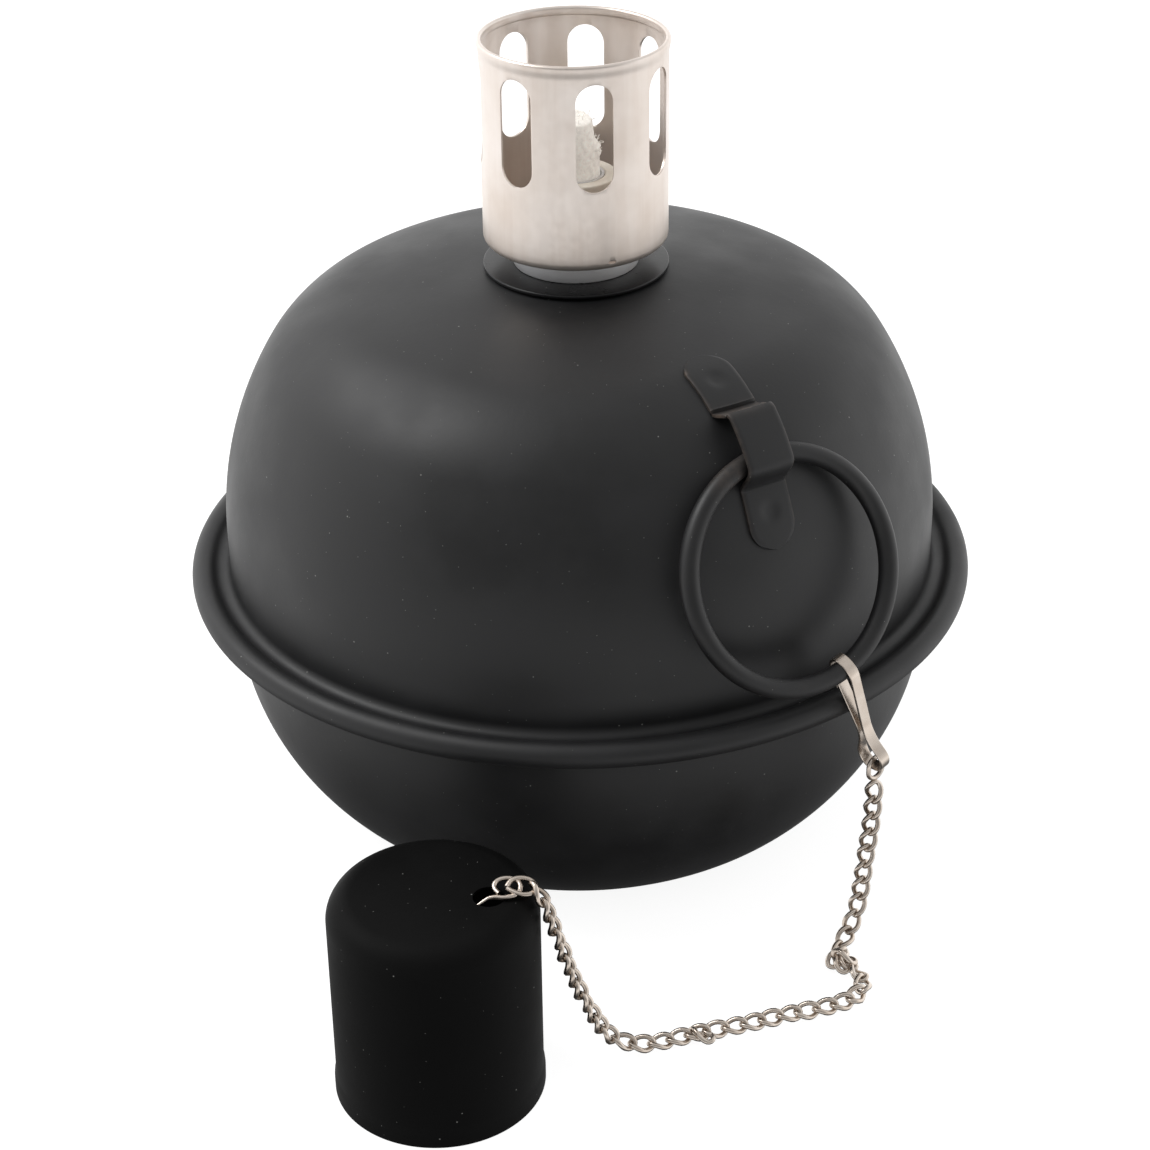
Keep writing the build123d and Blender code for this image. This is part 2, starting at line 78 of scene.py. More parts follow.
# neck and burner
BORE, NECK_WALL, NECK_DEPTH, NECK_FIT = 10.2, 0.8, 9.0, 0.05
PLATE, PLATE_THICK, PLATE_EDGE = 17.5, 0.7, 0.25
COLLAR, COLLAR_HEIGHT, COLLAR_WALL, PLUG_DEPTH, BURNER_FIT = 11.85, 4.4, 0.8, 8.0, 0.06
WICK, WICK_FIT, TUBE_WALL, TUBE_FIT = 4.8, 0.1, 0.6, 0.02
TUBE_TOP, TUBE_TAIL, TUBE_FLANGE, FLANGE_THICK = 12.8, 4.0, 7.6, 0.6
WICK_RING, RING_DEPTH, WICK_RISE = 7.8, 2.0, 11.0

# wind guard
GUARD, GUARD_HEIGHT, GUARD_SHEET, GUARD_CORNER = 17.35, 39.0, 0.45, 1.6
HEM_HEIGHT, HEM_INNER, HEM_PROUD = 2.2, 1.6, 0.28
SLOT_COUNT, SLOT_PITCH, SLOT_FIRST = 7, 50.0, 122.1
SLOT_WIDTH, SLOT_HEIGHT, SLOT_FLOOR = 6.9, 20.2, 15.3
NOTCH_AZIMUTH, NOTCH_WIDTH, NOTCH_HEIGHT = 22.3, 1.4, 0.5

# strap and carrying ring
STRAP_AZIMUTH, STRAP_WIDTH, STRAP_THICK = 31.4, 9.4, 0.7
STRAP_TOP, STRAP_BOTTOM, HUMP_CLEAR = 24.0, -15.0, 4.7
RAMP_UP, RAMP_DOWN = (10.9, 8.5), (-0.9, -2.9)
RING_SEAT, DIMPLES, DIMPLE_RADIUS, DIMPLE_DEPTH = 1.3, (17.4, -8.1), 1.7, 0.32
WIRE, HANDLE, HANDLE_GAP = 1.8, 20.9, 0.15
HANDLE_AZIMUTH, HANDLE_TILT, HANDLE_TURN = 32.0, 24.0, 3.0

# spring clip
CLIP_STATION, CLIP_TILT, CLIP_WIDTH, CLIP_SHEET, CLIP_DROP, LOOP_BOTTOM = 162.0, 6.5, 2.2, 0.5, 0.4, -23.0
CLIP_PLAY, CLIP_EDGE = 0.5, 0.12
CLIP_LINE = (                # (outwards, up) from the wire's centre, after the hook's first three corners
    (0.75, -15.6), (3.7, -20.2), (1.9, LOOP_BOTTOM), (-1.8, LOOP_BOTTOM),
    (-2.7, -20.0), (-0.2, -15.2), (-2.2, -2.9),
)
CLIP_BENDS = (2.2, 3.2, 9.0, 2.6, 2.2, 1.8, 3.5, 8.0)

# snuffer cap
CAP_DISTANCE, CAP_AZIMUTH, CAP_FIT, CAP_WALL, CAP_HEIGHT = 102.5, -14.6, 0.2, 0.5, 40.5
CAP_SHOULDER, LIP_PROUD, LIP_HEIGHT, HOLE, HOLE_AT = 4.5, 0.3, 3.0, 2.8, (9.7, -1.5)

# chain: the points of its route, from the link in the clip to the link in the cap
CHAIN_POINTS = (
    (53.5, -59.8, 34.5), (53.5, -59.8, 27.0), (52.4, -60.5, 18.5), (51.8, -61.1, 10.0),
    (50.0, -63.0, 3.4), (46.2, -69.6, 1.9), (51.2, -73.4, 1.8), (51.4, -79.6, 1.8),
    (45.6, -83.2, 1.8), (37.0, -85.2, 1.8), (28.0, -88.4, 1.8), (19.2, -90.4, 1.8),
    (10.6, -93.9, 1.8), (4.4, -93.6, 3.2), (0.9, -96.0, 11.5), (-2.2, -98.0, 21.0),
    (-4.6, -100.0, 31.0), (-5.8, -101.0, 36.0), (-6.9, -101.2, 40.6), (-8.6, -99.9, 42.2),
)
HANGING, RISING = 31.5, 46.0     # lengths of chain that bend with the clip and with the cap
LINK_LENGTH, LINK_WIRE, LINK_PLAY = 5.4, 0.9, 0.2
LOOSE_LINKS = (              # links knotted beside the chain: place, and the way each lies and faces
    ((46.9, -70.2, 2.6), (0.6, 0.5, 0.4), (0.2, -0.8, 0.4)),
    ((48.2, -71.0, 3.2), (0.9, -0.3, -0.3), (0.1, 0.6, 0.7)),
    ((47.4, -71.4, 2.0), (-0.4, 0.9, 0.1), (0.6, 0.2, 0.7)),
    ((20.8, -90.8, 1.7), (0.8, -0.5, -0.1), (0.3, 0.5, 0.8)),
)
END_WIRE, MIDDLE_WIRE = 0.42, 0.44
END_UNDER, END_OVER = -CAP_WALL - LINK_WIRE / 2 - 0.1, LINK_WIRE / 2 + 0.1
END_LINK = (                 # from the middle of the cap's top: through the hole, then round the chain
    (4.6, -4.6, END_UNDER), (6.4, -4.0, END_UNDER), (8.2, -3.0, END_UNDER * 0.3), (10.0, -2.1, END_OVER),
    (12.4, -2.6, END_OVER), (14.2, -2.2, END_OVER + 0.2), (15.2, -1.0, END_OVER + 0.6),
    (14.7, 0.7, END_OVER + 1.3), (12.6, 1.1, END_OVER + 1.6), (10.8, 0.5, END_OVER + 1.3),
    (10.4, -0.9, END_OVER + 0.7), (11.4, -1.9, END_OVER + 0.5),
)
MIDDLE_LINK = (
    (12.8, -1.0, 1.4), (14.4, -2.2, 1.0), (16.8, -2.1, 0.8), (17.9, -0.8, 1.1),
    (17.0, 0.7, 1.9), (14.8, 0.9, 2.3), (13.2, 0.3, 2.0), (12.7, -0.8, 1.5),
)

# light: how bright the room is from straight below (0) to straight above (1)
ROOM_BEHIND = ((0.0, 0.04), (0.13, 0.14), (0.26, 1.35), (0.62, 1.6), (0.8, 0.9), (1.0, 0.75))
ROOM_IN_FRONT = (
    (0.0, 0.04), (0.14, 0.1), (0.25, 1.3), (0.36, 1.3), (0.48, 0.4), (0.7, 0.34), (1.0, 0.75),
)
FLOOR_REACH = 3.0                # metres
SOFTBOX_SIZE, SOFTBOX_PLACE, SOFTBOX_AIM = (0.5, 0.4), (-0.55, 0.05, 0.75), (0, 0, 0.08)


# ------------------------------------------------------------------ colours
def srgb(code, alpha=False):
    """Linear colour of an sRGB hex code."""
    values = [int(code[i:i + 2], 16) / 255 for i in (1, 3, 5)]
    linear = [v / 12.92 if v <= 0.04045 else ((v + 0.055) / 1.055) ** 2.4 for v in values]
    return (*linear, 1.0) if alpha else tuple(linear)


def colour(name, description, code):
    return FloatVectorProperty(
        name=name, description=description, subtype="COLOR", size=3, min=0, max=1, default=srgb(code)
    )


def size(name, description, default):
    """A length in millimetres, kept in metres."""
    return FloatProperty(
        name=name, description=description, default=default * MM, min=0, precision=5,
        subtype="DISTANCE", unit="LENGTH",
    )


def share(name, description, default):
    return FloatProperty(
        name=name, description=description, default=default, min=0, max=1, subtype="FACTOR"
    )


class TorchFinishes(bpy.types.PropertyGroup):
    enamel: colour("Enamel", "Matte black stoving enamel of the pot, strap and ring", "#0f0f10")
    enamel_roughness: share("Enamel roughness", "How dull the pot's enamel is", 0.5)
    cap_enamel: colour("Cap enamel", "Enamel on the snuffer cap", "#030303")
    plate_enamel: colour("Neck plate enamel", "Glossier enamel on the neck plate", "#0c0c0d")
    worn: colour("Worn edge", "Bare, handled metal along the strap and ring", "#54483f")
    dust: colour("Dust", "Specks of dust on the enamel", "#b4b4b0")
    dust_share: share("Dust share", "Share of the surface's cells that hold a speck", 0.42)
    nickel: colour("Nickel", "Bright nickel plate of the wind guard", "#e2dad4")
    nickel_roughness: share("Nickel roughness", "How dull the handled plate is", 0.33)
    # brown tint inside the guard; low in the cup it carries painted shade as well
    heat: colour("Heat tint", "Brown tint of the plate inside the guard", "#2c1f17")
    zinc: colour("Zinc", "Dull plate of the burner's collar", "#d4d6d9")
    chain: colour("Chain wire", "Nickel plated wire of the chain and clip", "#cfc5bb")
    cotton: colour("Cotton", "Undyed cotton of the wick", "#f4f0e9")


class TorchChain(bpy.types.PropertyGroup):
    wire: size("Wire", "Diameter of the link's wire", 0.95)
    length: size("Link length", "Outside length of a link", 5.4)
    width: size("Link width", "Outside width of a link", 3.6)
    twist: FloatProperty(
        name="Twist", description="Turn from one end of a link to the other",
        default=radians(100), subtype="ANGLE", unit="ROTATION",
    )
    seed: IntProperty(name="Seed", description="Seed of the links' uneven roll", default=7)
    roll: FloatProperty(
        name="Uneven roll", description="Most that a link rolls out of line",
        default=radians(14), subtype="ANGLE", unit="ROTATION",
    )


class TorchWick(bpy.types.PropertyGroup):
    lean: size("Lean", "How far the top leans sideways", 0.7)
    braid: size("Braid depth", "Depth of the braid's furrows", 0.16)
    fibres: IntProperty(name="Fibres", description="Loose fibres of the frayed end", default=70)
    fibre_length: size("Fibre length", "Length of a loose fibre", 0.9)
    seed: IntProperty(name="Seed", description="Seed of the fray", default=3)


class TorchStage(bpy.types.PropertyGroup):
    floor: colour("Floor", "Pale floor", "#ffffff")
    glow: FloatProperty(name="Floor glow", description="Light that the floor gives off", default=0.9)
    distance: size("Camera distance", "Camera's distance in front of the torch's axis", 459.51)
    height: size("Camera height", "Camera's height above the floor", 309.92)
    pitch: FloatProperty(name="Pitch", description="Camera looks down by", default=0.5229, subtype="ANGLE")
    yaw: FloatProperty(name="Yaw", description="Camera turns right by", default=-0.0023, subtype="ANGLE")
    roll: FloatProperty(name="Roll", description="Camera rolls by", default=-0.0141, subtype="ANGLE")
    lens: FloatProperty(name="Lens", description="Focal length in millimetres", default=82.47)
    key: FloatProperty(
        name="Key light", description="Power of the softbox, watts", default=5.0, subtype="POWER"
    )
    world: FloatProperty(name="World", description="Strength of the even light", default=1.0)


# ------------------------------------------------------------------ mesh helpers
def outward(azimuth):
    """Level unit vector that points out at an azimuth, measured from the front towards +X."""
    return Vector((sin(radians(azimuth)), -cos(radians(azimuth)), 0))


def arc(centre, radius, start, end, steps):
    """Points (radius, height) along an arc, from one angle to another, in degrees."""
    angles = [radians(start + (end - start) * i / steps) for i in range(steps + 1)]
    return [(centre[0] + radius * cos(a), centre[1] + radius * sin(a)) for a in angles]


def rounded(points, radius, steps=4):
    """Closed outline with each corner rounded by up to the radius."""
    result = []
    for before, corner, after in zip(points[-1:] + points[:-1], points, points[1:] + points[:1]):
        a, b, c = (Vector(p) for p in (before, corner, after))
        reach = min(radius, (a - b).length * 0.45, (c - b).length * 0.45)
        start, end = b + (a - b).normalized() * reach, b + (c - b).normalized() * reach
        for i in range(steps + 1):
            t = i / steps
            result.append(tuple(start * (1 - t) ** 2 + b * 2 * t * (1 - t) + end * t * t))
    return result


def make_object(name, mesh, smooth_angle=32):
    """Object of a mesh in metres, shaded smooth up to an angle."""
    mesh.shade_smooth()
    mesh.set_sharp_from_angle(angle=radians(smooth_angle))
    piece = bpy.data.objects.new(name, mesh)
    bpy.context.scene.collection.objects.link(piece)
    return piece


def skin(name, rings, loop=False, caps=True, smooth_angle=32):
    """Closed surface through rings of points in millimetres; loop joins the last ring to the first."""
    mesh = bpy.data.meshes.new(name)
    shape = bmesh.new()
    rows = [[shape.verts.new(Vector(p) * MM) for p in ring] for ring in rings]
    count = len(rows[0])
    pairs = list(zip(rows, rows[1:] + rows[:1])) if loop else list(zip(rows, rows[1:]))
    for low, high in pairs:
        for i in range(count):
            j = (i + 1) % count
            shape.faces.new((low[i], low[j], high[j], high[i]))
    if caps and not loop:
        shape.faces.new(list(reversed(rows[0])))
        shape.faces.new(rows[-1])
    bmesh.ops.remove_doubles(shape, verts=shape.verts, dist=1e-7)
    bmesh.ops.recalc_face_normals(shape, faces=shape.faces)
    shape.to_mesh(mesh)
    shape.free()
    return make_object(name, mesh, smooth_angle)


def turned(name, outline, segments=192, change=None, centre=(0, 0), smooth_angle=32):
    """Turns a closed outline of (radius, height) about an upright axis."""
    rings = []
    for i in range(segments):
        azimuth = 360 * i / segments
        direction = outward(azimuth)
        ring = []
        for radius, height in outline:
            if change:
                radius, height = change(radius, height, azimuth)
            ring.append(direction * radius + Vector((centre[0], centre[1], height)))
        rings.append(ring)
    return skin(name, rings, loop=True, smooth_angle=smooth_angle)


def tube(name, points, radius, taper=None):
    """Round wire along a smooth curve through control points in millimetres."""
    curve = bpy.data.curves.new(name, "CURVE")
    curve.dimensions = "3D"
    curve.bevel_depth = radius * MM
    curve.bevel_resolution = 3
    curve.resolution_u = 8
    curve.use_fill_caps = True
    spline = curve.splines.new("NURBS")
    spline.points.add(len(points) - 1)
    for knot, point, width in zip(spline.points, points, taper or [1.0] * len(points)):
        knot.co = (*(Vector(point) * MM), 1)
        knot.radius = width
    spline.order_u = 3
    spline.use_endpoint_u = True
    holder = bpy.data.objects.new(name, curve)
    mesh = bpy.data.meshes.new_from_object(holder)
    bpy.data.objects.remove(holder)
    bpy.data.curves.remove(curve)
    shape = bmesh.new()
    shape.from_mesh(mesh)
    bmesh.ops.remove_doubles(shape, verts=shape.verts, dist=1e-7)
    bmesh.ops.recalc_face_normals(shape, faces=shape.faces)
    shape.to_mesh(mesh)
    shape.free()
    mesh.name = name
    return make_object(name, mesh, 60)


def applied(piece):
    """Turns a piece's live modifiers into its plain mesh."""
    bpy.context.view_layer.update()
    evaluated = piece.evaluated_get(bpy.context.evaluated_depsgraph_get())
    mesh = bpy.data.meshes.new_from_object(evaluated)
    piece.modifiers.clear()
    piece.data = mesh
    return piece


def cut(piece, cutter, smooth_angle=32):
    """Cuts one closed mesh out of another and removes the cutter."""
    modifier = piece.modifiers.new("cut", "BOOLEAN")
    modifier.operation = "DIFFERENCE"
    modifier.solver = "EXACT"
    modifier.object = cutter
    applied(piece)
    piece.data.shade_smooth()
    piece.data.set_sharp_from_angle(angle=radians(smooth_angle))
    bpy.data.objects.remove(cutter)
    return piece


def paint(piece, name, value):
    """Writes a number from 0 to 1 on each vertex, worked out from its place in millimetres."""
    attribute = piece.data.attributes.new(name, "FLOAT", "POINT")
    attribute.data.foreach_set("value", [value(v.co / MM) for v in piece.data.vertices])


def settle(piece, body, slot, material, *nodes):
    """Gives a finished piece its material and body, and hides the nodes it stands for. The slot is not used.
    """
    piece.data.materials.clear()
    piece.data.materials.append(material)
    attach(piece, body)
    if nodes:
        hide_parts(*nodes)
    return piece


def smoothstep(low, high, value):
    t = min(1.0, max(0.0, (value - low) / (high - low)))
    return t * t * (3 - 2 * t)


# ------------------------------------------------------------------ node helpers
def add(tree, kind, inputs=None, **settings):
    """Adds a node with its settings; an input is a value or another node's output."""
    node = tree.nodes.new(kind)
    for name, value in settings.items():
        setattr(node, name, value)
    for name, value in (inputs or {}).items():
        socket = node.inputs[name]
        if isinstance(value, bpy.types.NodeSocket):
            tree.links.new(value, socket)
        else:
            socket.default_value = value
    return node


def started(name, **sockets):
    """New tree of geometry nodes with named inputs of the kinds given, and its inputs' sockets."""
    tree = bpy.data.node_groups.new(name, "GeometryNodeTree")
    tree.interface.new_socket("Geometry", in_out="INPUT", socket_type="NodeSocketGeometry")
    for label, kind in sockets.items():
        tree.interface.new_socket(label, in_out="INPUT", socket_type=f"NodeSocket{kind}")
    tree.interface.new_socket("Geometry", in_out="OUTPUT", socket_type="NodeSocketGeometry")
    return tree, add(tree, "NodeGroupInput").outputs


def ended(tree, copies, coat):
    """Ends a tree: its copies become real meshes and get their material."""
    real = add(tree, "GeometryNodeRealizeInstances", {"Geometry": copies.outputs["Instances"]})
    coated = add(tree, "GeometryNodeSetMaterial", {"Geometry": real.outputs["Geometry"], "Material": coat})
    add(tree, "NodeGroupOutput", {"Geometry": coated.outputs["Geometry"]})
    return tree


def new_material(name):
    """Material with an empty tree but its output and surface shader."""
    material = bpy.data.materials.new(name)
    material.use_nodes = True
    tree = material.node_tree
    tree.nodes.clear()
    shader = add(tree, "ShaderNodeBsdfPrincipled")
    add(tree, "ShaderNodeOutputMaterial", {"Surface": shader.outputs["BSDF"]})
    place = add(tree, "ShaderNodeTexCoord").outputs["Object"]
    return material, tree, shader, place


def blotches(tree, place, grain, detail=3.0, low=0.35, high=0.65, seed=0.0):
    """Soft noise from 0 to 1, its grain given in millimetres."""
    cloud = add(
        tree, "ShaderNodeTexNoise",
        {"Vector": place, "Scale": 1 / (grain * MM), "Detail": detail, "Roughness": 0.55, "W": seed},
        noise_dimensions="4D",
    )
    span = add(
        tree, "ShaderNodeMapRange",
        {"Value": cloud.outputs["Fac"], "From Min": low, "From Max": high, "To Min": 0.0, "To Max": 1.0},
    )
    return span.outputs["Result"]


def specks(tree, place, spacing, radius, share_kept, seed=0.0):
    """Small round specks: one cell in so many holds one. Sizes are in millimetres."""
    moved = add(tree, "ShaderNodeMapping", {"Vector": place, "Location": (seed, seed, seed)})
    cells = add(
        tree, "ShaderNodeTexVoronoi",
        {"Vector": moved.outputs["Vector"], "Scale": 1 / (spacing * MM), "Randomness": 1.0},
        feature="F1",
    )
    near = add(
        tree, "ShaderNodeMapRange",
        {
            "Value": cells.outputs["Distance"], "From Min": radius / spacing,
            "From Max": 0.5 * radius / spacing, "To Min": 0.0, "To Max": 1.0,
        },
    )
    pick = add(tree, "ShaderNodeSeparateColor", {"Color": cells.outputs["Color"]})
    kept = add(
        tree, "ShaderNodeMath", {0: pick.outputs["Red"], 1: share_kept}, operation="LESS_THAN"
    )
    both = add(
        tree, "ShaderNodeMath", {0: near.outputs["Result"], 1: kept.outputs[0]}, operation="MULTIPLY"
    )
    return both.outputs[0]


# ------------------------------------------------------------------ materials
def enamel(name, base, roughness, gloss=0.42, wear=False):
    """Stoving enamel sprayed on pressed steel: a dull black that mirrors only broad light, with
    the faint ripple of sprayed paint, dust specks, and brown bare metal where it is handled."""
    finish = bpy.context.scene.torch_finishes
    material, tree, shader, place = new_material(name)
    uneven = blotches(tree, place, 19, detail=5.0, seed=1.0)      # patches of heavier spray
    fine = blotches(tree, place, 0.9, detail=2.0, seed=2.0)       # the spray's grain, drawn coarse
    dust = specks(tree, place, 3.2, 0.17, finish.dust_share)
    small = specks(tree, place, 1.4, 0.09, finish.dust_share, seed=0.31)
    both = add(tree, "ShaderNodeMath", {0: dust, 1: small}, operation="MAXIMUM").outputs[0]
    faint = add(tree, "ShaderNodeMath", {0: both, 1: 0.42}, operation="MULTIPLY").outputs[0]
    lighter = tuple(min(1, c * 2.0 + 0.001) for c in base)
    hue = add(
        tree, "ShaderNodeMix", {0: uneven, 6: (*base, 1), 7: (*lighter, 1)}, data_type="RGBA"
    ).outputs[2]
    hue = add(tree, "ShaderNodeMix", {0: faint, 6: hue, 7: (*finish.dust, 1)}, data_type="RGBA").outputs[2]
    rough = add(
        tree, "ShaderNodeMapRange", {"Value": uneven, "To Min": roughness - 0.06, "To Max": roughness + 0.07}
    ).outputs["Result"]
    if wear:
        rubbed = add(tree, "ShaderNodeAttribute", attribute_name="wear").outputs["Fac"]
        patchy = blotches(tree, place, 1.4, low=0.3, high=0.6, seed=5.0)
        worn = add(tree, "ShaderNodeMath", {0: rubbed, 1: patchy}, operation="MULTIPLY").outputs[0]
        hue = add(tree, "ShaderNodeMix", {0: worn, 6: hue, 7: (*finish.worn, 1)}, data_type="RGBA").outputs[2]
    tree.links.new(hue, shader.inputs["Base Color"])
    tree.links.new(rough, shader.inputs["Roughness"])
    shader.inputs["Specular IOR Level"].default_value = gloss
    relief = add(tree, "ShaderNodeMath", {0: fine, 1: both}, operation="ADD").outputs[0]
    bump = add(
        tree, "ShaderNodeBump", {"Height": relief, "Strength": 0.25, "Distance": 0.02 * MM}
    )
    tree.links.new(bump.outputs["Normal"], shader.inputs["Normal"])
    return material


def plated(name, base, roughness, smudge=18.0, film=0.0, ripple=0.03, tint=None):
    """Plated sheet or wire: metal that mirrors the room, dulled in patches by finger marks and
    rippled a little by the press. The film is the share of dull oxide. With a tint, vertical streaks
    of wear and painted reflection run up it, and a heat attribute marks the browned,
    smoother plate by the flame, darkened low in the guard's cup by painted shade."""
    material, tree, shader, place = new_material(name)
    marks = blotches(tree, place, smudge, detail=4.0, low=0.3, high=0.7, seed=3.0)
    fine = blotches(tree, place, 1.2, detail=2.0, seed=4.0)       # the brushing's grain, drawn coarse
    darker = tuple(c * k for c, k in zip(base, (0.86, 0.82, 0.78)))
    hue = add(
        tree, "ShaderNodeMix", {0: marks, 6: (*base, 1), 7: (*darker, 1)}, data_type="RGBA"
    ).outputs[2]
    both = add(tree, "ShaderNodeMath", {0: marks, 1: fine}, operation="ADD").outputs[0]
    half = add(tree, "ShaderNodeMath", {0: both, 1: 0.5}, operation="MULTIPLY").outputs[0]
    rough = add(
        tree, "ShaderNodeMapRange", {"Value": half, "To Min": roughness * 0.85, "To Max": roughness * 1.2}
    ).outputs["Result"]
    shader.inputs["Metallic"].default_value = 1.0 - film
    if tint:
        # heat attribute: brown tint inside the guard, with painted shade low in the cup
        heat = add(tree, "ShaderNodeAttribute", attribute_name="heat").outputs["Fac"]
        # vertical streaks: partly wear, partly painted reflection stretched along the curved wall
        tall = add(tree, "ShaderNodeMapping", {"Vector": place, "Scale": (1, 1, 0.06)}).outputs["Vector"]
        wear_and_reflection_streaks = blotches(tree, tall, 1.9, detail=2.0, low=0.43, high=0.57, seed=6.0)
        warm = tuple(c * k for c, k in zip(base, (0.72, 0.64, 0.58)))
        faint = add(tree, "ShaderNodeMath", {0: wear_and_reflection_streaks, 1: marks}, operation="MULTIPLY").outputs[0]
        weak = add(tree, "ShaderNodeMath", {0: faint, 1: 0.25}, operation="MULTIPLY").outputs[0]
        hue = add(tree, "ShaderNodeMix", {0: weak, 6: hue, 7: (*warm, 1)}, data_type="RGBA").outputs[2]
        inside = add(tree, "ShaderNodeMath", {0: heat, 1: 0.01}, operation="GREATER_THAN").outputs[0]
        shift = add(tree, "ShaderNodeMapRange", {"Value": wear_and_reflection_streaks, "To Min": -0.42, "To Max": 0.42})
        shifted = add(
            tree, "ShaderNodeMath", {0: heat, 1: shift.outputs["Result"]}, operation="ADD", use_clamp=True
        ).outputs[0]
        level = add(tree, "ShaderNodeMath", {0: shifted, 1: inside}, operation="MULTIPLY").outputs[0]
        hue = add(tree, "ShaderNodeMix", {0: level, 6: hue, 7: (*tint, 1)}, data_type="RGBA").outputs[2]
        smooth = add(tree, "ShaderNodeMix", {0: inside, 2: rough, 3: roughness * 0.4}, data_type="FLOAT")
        rough = smooth.outputs[0]
    tree.links.new(hue, shader.inputs["Base Color"])
    tree.links.new(rough, shader.inputs["Roughness"])
    if ripple:
        wave = blotches(tree, place, 9, detail=1.0, seed=8.0)      # dents left by the press
        bump = add(tree, "ShaderNodeBump", {"Height": wave, "Strength": 0.5, "Distance": ripple * MM})
        tree.links.new(bump.outputs["Normal"], shader.inputs["Normal"])
    return material


def cotton_braid(name):
    """Braided undyed cotton: a soft matte white, a little grey in the furrows, fuzzy at grazing
    light. Thin loose yarn lets light through, which a faint glow stands in for."""
    finish = bpy.context.scene.torch_finishes
    material, tree, shader, place = new_material(name)
    soft = blotches(tree, place, 0.8, detail=4.0, seed=9.0)
    grey = tuple(c * 0.8 for c in finish.cotton)
    hue = add(
        tree, "ShaderNodeMix", {0: soft, 6: (*grey, 1), 7: (*finish.cotton, 1)}, data_type="RGBA"
    ).outputs[2]
    tree.links.new(hue, shader.inputs["Base Color"])
    shader.inputs["Roughness"].default_value = 0.9
    shader.inputs["Sheen Weight"].default_value = 0.3
    shader.inputs["Emission Color"].default_value = (*finish.cotton, 1)
    shader.inputs["Emission Strength"].default_value = 0.18
    shader.inputs["Sheen Roughness"].default_value = 0.5
    bump = add(tree, "ShaderNodeBump", {"Height": soft, "Strength": 0.6, "Distance": 0.1 * MM})
    tree.links.new(bump.outputs["Normal"], shader.inputs["Normal"])
    return material


def material(name, maker, *values, **named):
    """The named material, made once."""
    return bpy.data.materials.get(name) or maker(name, *values, **named)


def pot_enamel():
    finish = bpy.context.scene.torch_finishes
    return material("Black stoving enamel", enamel, tuple(finish.enamel), finish.enamel_roughness)


def handled_enamel():
    finish = bpy.context.scene.torch_finishes
    return material(
        "Handled black enamel", enamel, tuple(finish.enamel), finish.enamel_roughness, wear=True
    )


def wire_plate():
    finish = bpy.context.scene.torch_finishes
    return material("Nickel plated wire", plated, tuple(finish.chain), 0.27, smudge=3.0, ripple=0)


# ------------------------------------------------------------------ shell outline
SIDE_CENTRE = (WALL - SIDE_CURVE, SIDE_START)
SHOULDER_CENTRE = (
    SIDE_CENTRE[0] + (SIDE_CURVE - SHOULDER_CURVE) * cos(radians(SIDE_LEAN)),
    SIDE_CENTRE[1] + (SIDE_CURVE - SHOULDER_CURVE) * sin(radians(SIDE_LEAN)),
)
CROWN_CURVE = SHOULDER_CURVE + SHOULDER_CENTRE[0] / cos(radians(SHOULDER_LEAN))
CROWN_CENTRE = (0, SHOULDER_CENTRE[1] - (CROWN_CURVE - SHOULDER_CURVE) * sin(radians(SHOULDER_LEAN)))
ROLL_CENTRE = (WALL + SEAM_OVERHANG, SEAM_HEIGHT)
HOLLOW_RISE = sqrt((SEAM_HOLLOW + SEAM_ROLL) ** 2 - (SEAM_OVERHANG - SEAM_HOLLOW) ** 2)
HOLLOW_CENTRE = (WALL + SEAM_HOLLOW, SEAM_HEIGHT + HOLLOW_RISE)
HOLLOW_ANGLE = degrees(asin(HOLLOW_RISE / (SEAM_HOLLOW + SEAM_ROLL)))
FLANGE_TOP = HOLLOW_CENTRE[1] - SEAM_HOLLOW - SHEET - SEAM_GAP
FLANGE_BOTTOM = FLANGE_TOP - SHEET
LIP_ANGLE = degrees(asin((SEAM_HEIGHT - FLANGE_BOTTOM + SEAM_GAP) / (SEAM_ROLL - SHEET)))
MOUTH = BORE + NECK_WALL + NECK_FIT
PLATE_BASE = CROWN_CENTRE[1] + sqrt(CROWN_CURVE**2 - MOUTH**2)
PLATE_TOP = PLATE_BASE + PLATE_THICK
COLLAR_TOP = PLATE_TOP + COLLAR_HEIGHT
GUARD_TOP = COLLAR_TOP + GUARD_HEIGHT
TUBE_BORE = WICK + WICK_FIT
TUBE = TUBE_BORE + TUBE_WALL
TUBE_HOLE = TUBE + TUBE_FIT
PLUG_BOTTOM = PLATE_TOP - PLUG_DEPTH
CAP_BORE = GUARD + HEM_PROUD + CAP_FIT
CAP = CAP_BORE + CAP_WALL
CAP_AXIS = outward(CAP_AZIMUTH) * CAP_DISTANCE
SHOULDER_RUN = radians(SHOULDER_LEAN - SIDE_LEAN) * SHOULDER_CURVE


def upper_run(inset):
    """Upper shell's line from its mouth to the lip of the roll, moved in by inset."""
    crown = CROWN_CURVE - inset
    mouth = degrees(acos(MOUTH / crown))
    return (
        arc(CROWN_CENTRE, crown, mouth, SHOULDER_LEAN, 24)
        + arc(SHOULDER_CENTRE, SHOULDER_CURVE - inset, SHOULDER_LEAN, SIDE_LEAN, 22)[1:]
        + arc(SIDE_CENTRE, SIDE_CURVE - inset, SIDE_LEAN, 0, 22)[1:]
        + arc(HOLLOW_CENTRE, SEAM_HOLLOW + inset, 180, 360 - HOLLOW_ANGLE, 12)
        + arc(ROLL_CENTRE, SEAM_ROLL - inset, 180 - HOLLOW_ANGLE, LIP_ANGLE - 180, 30)[1:]
    )


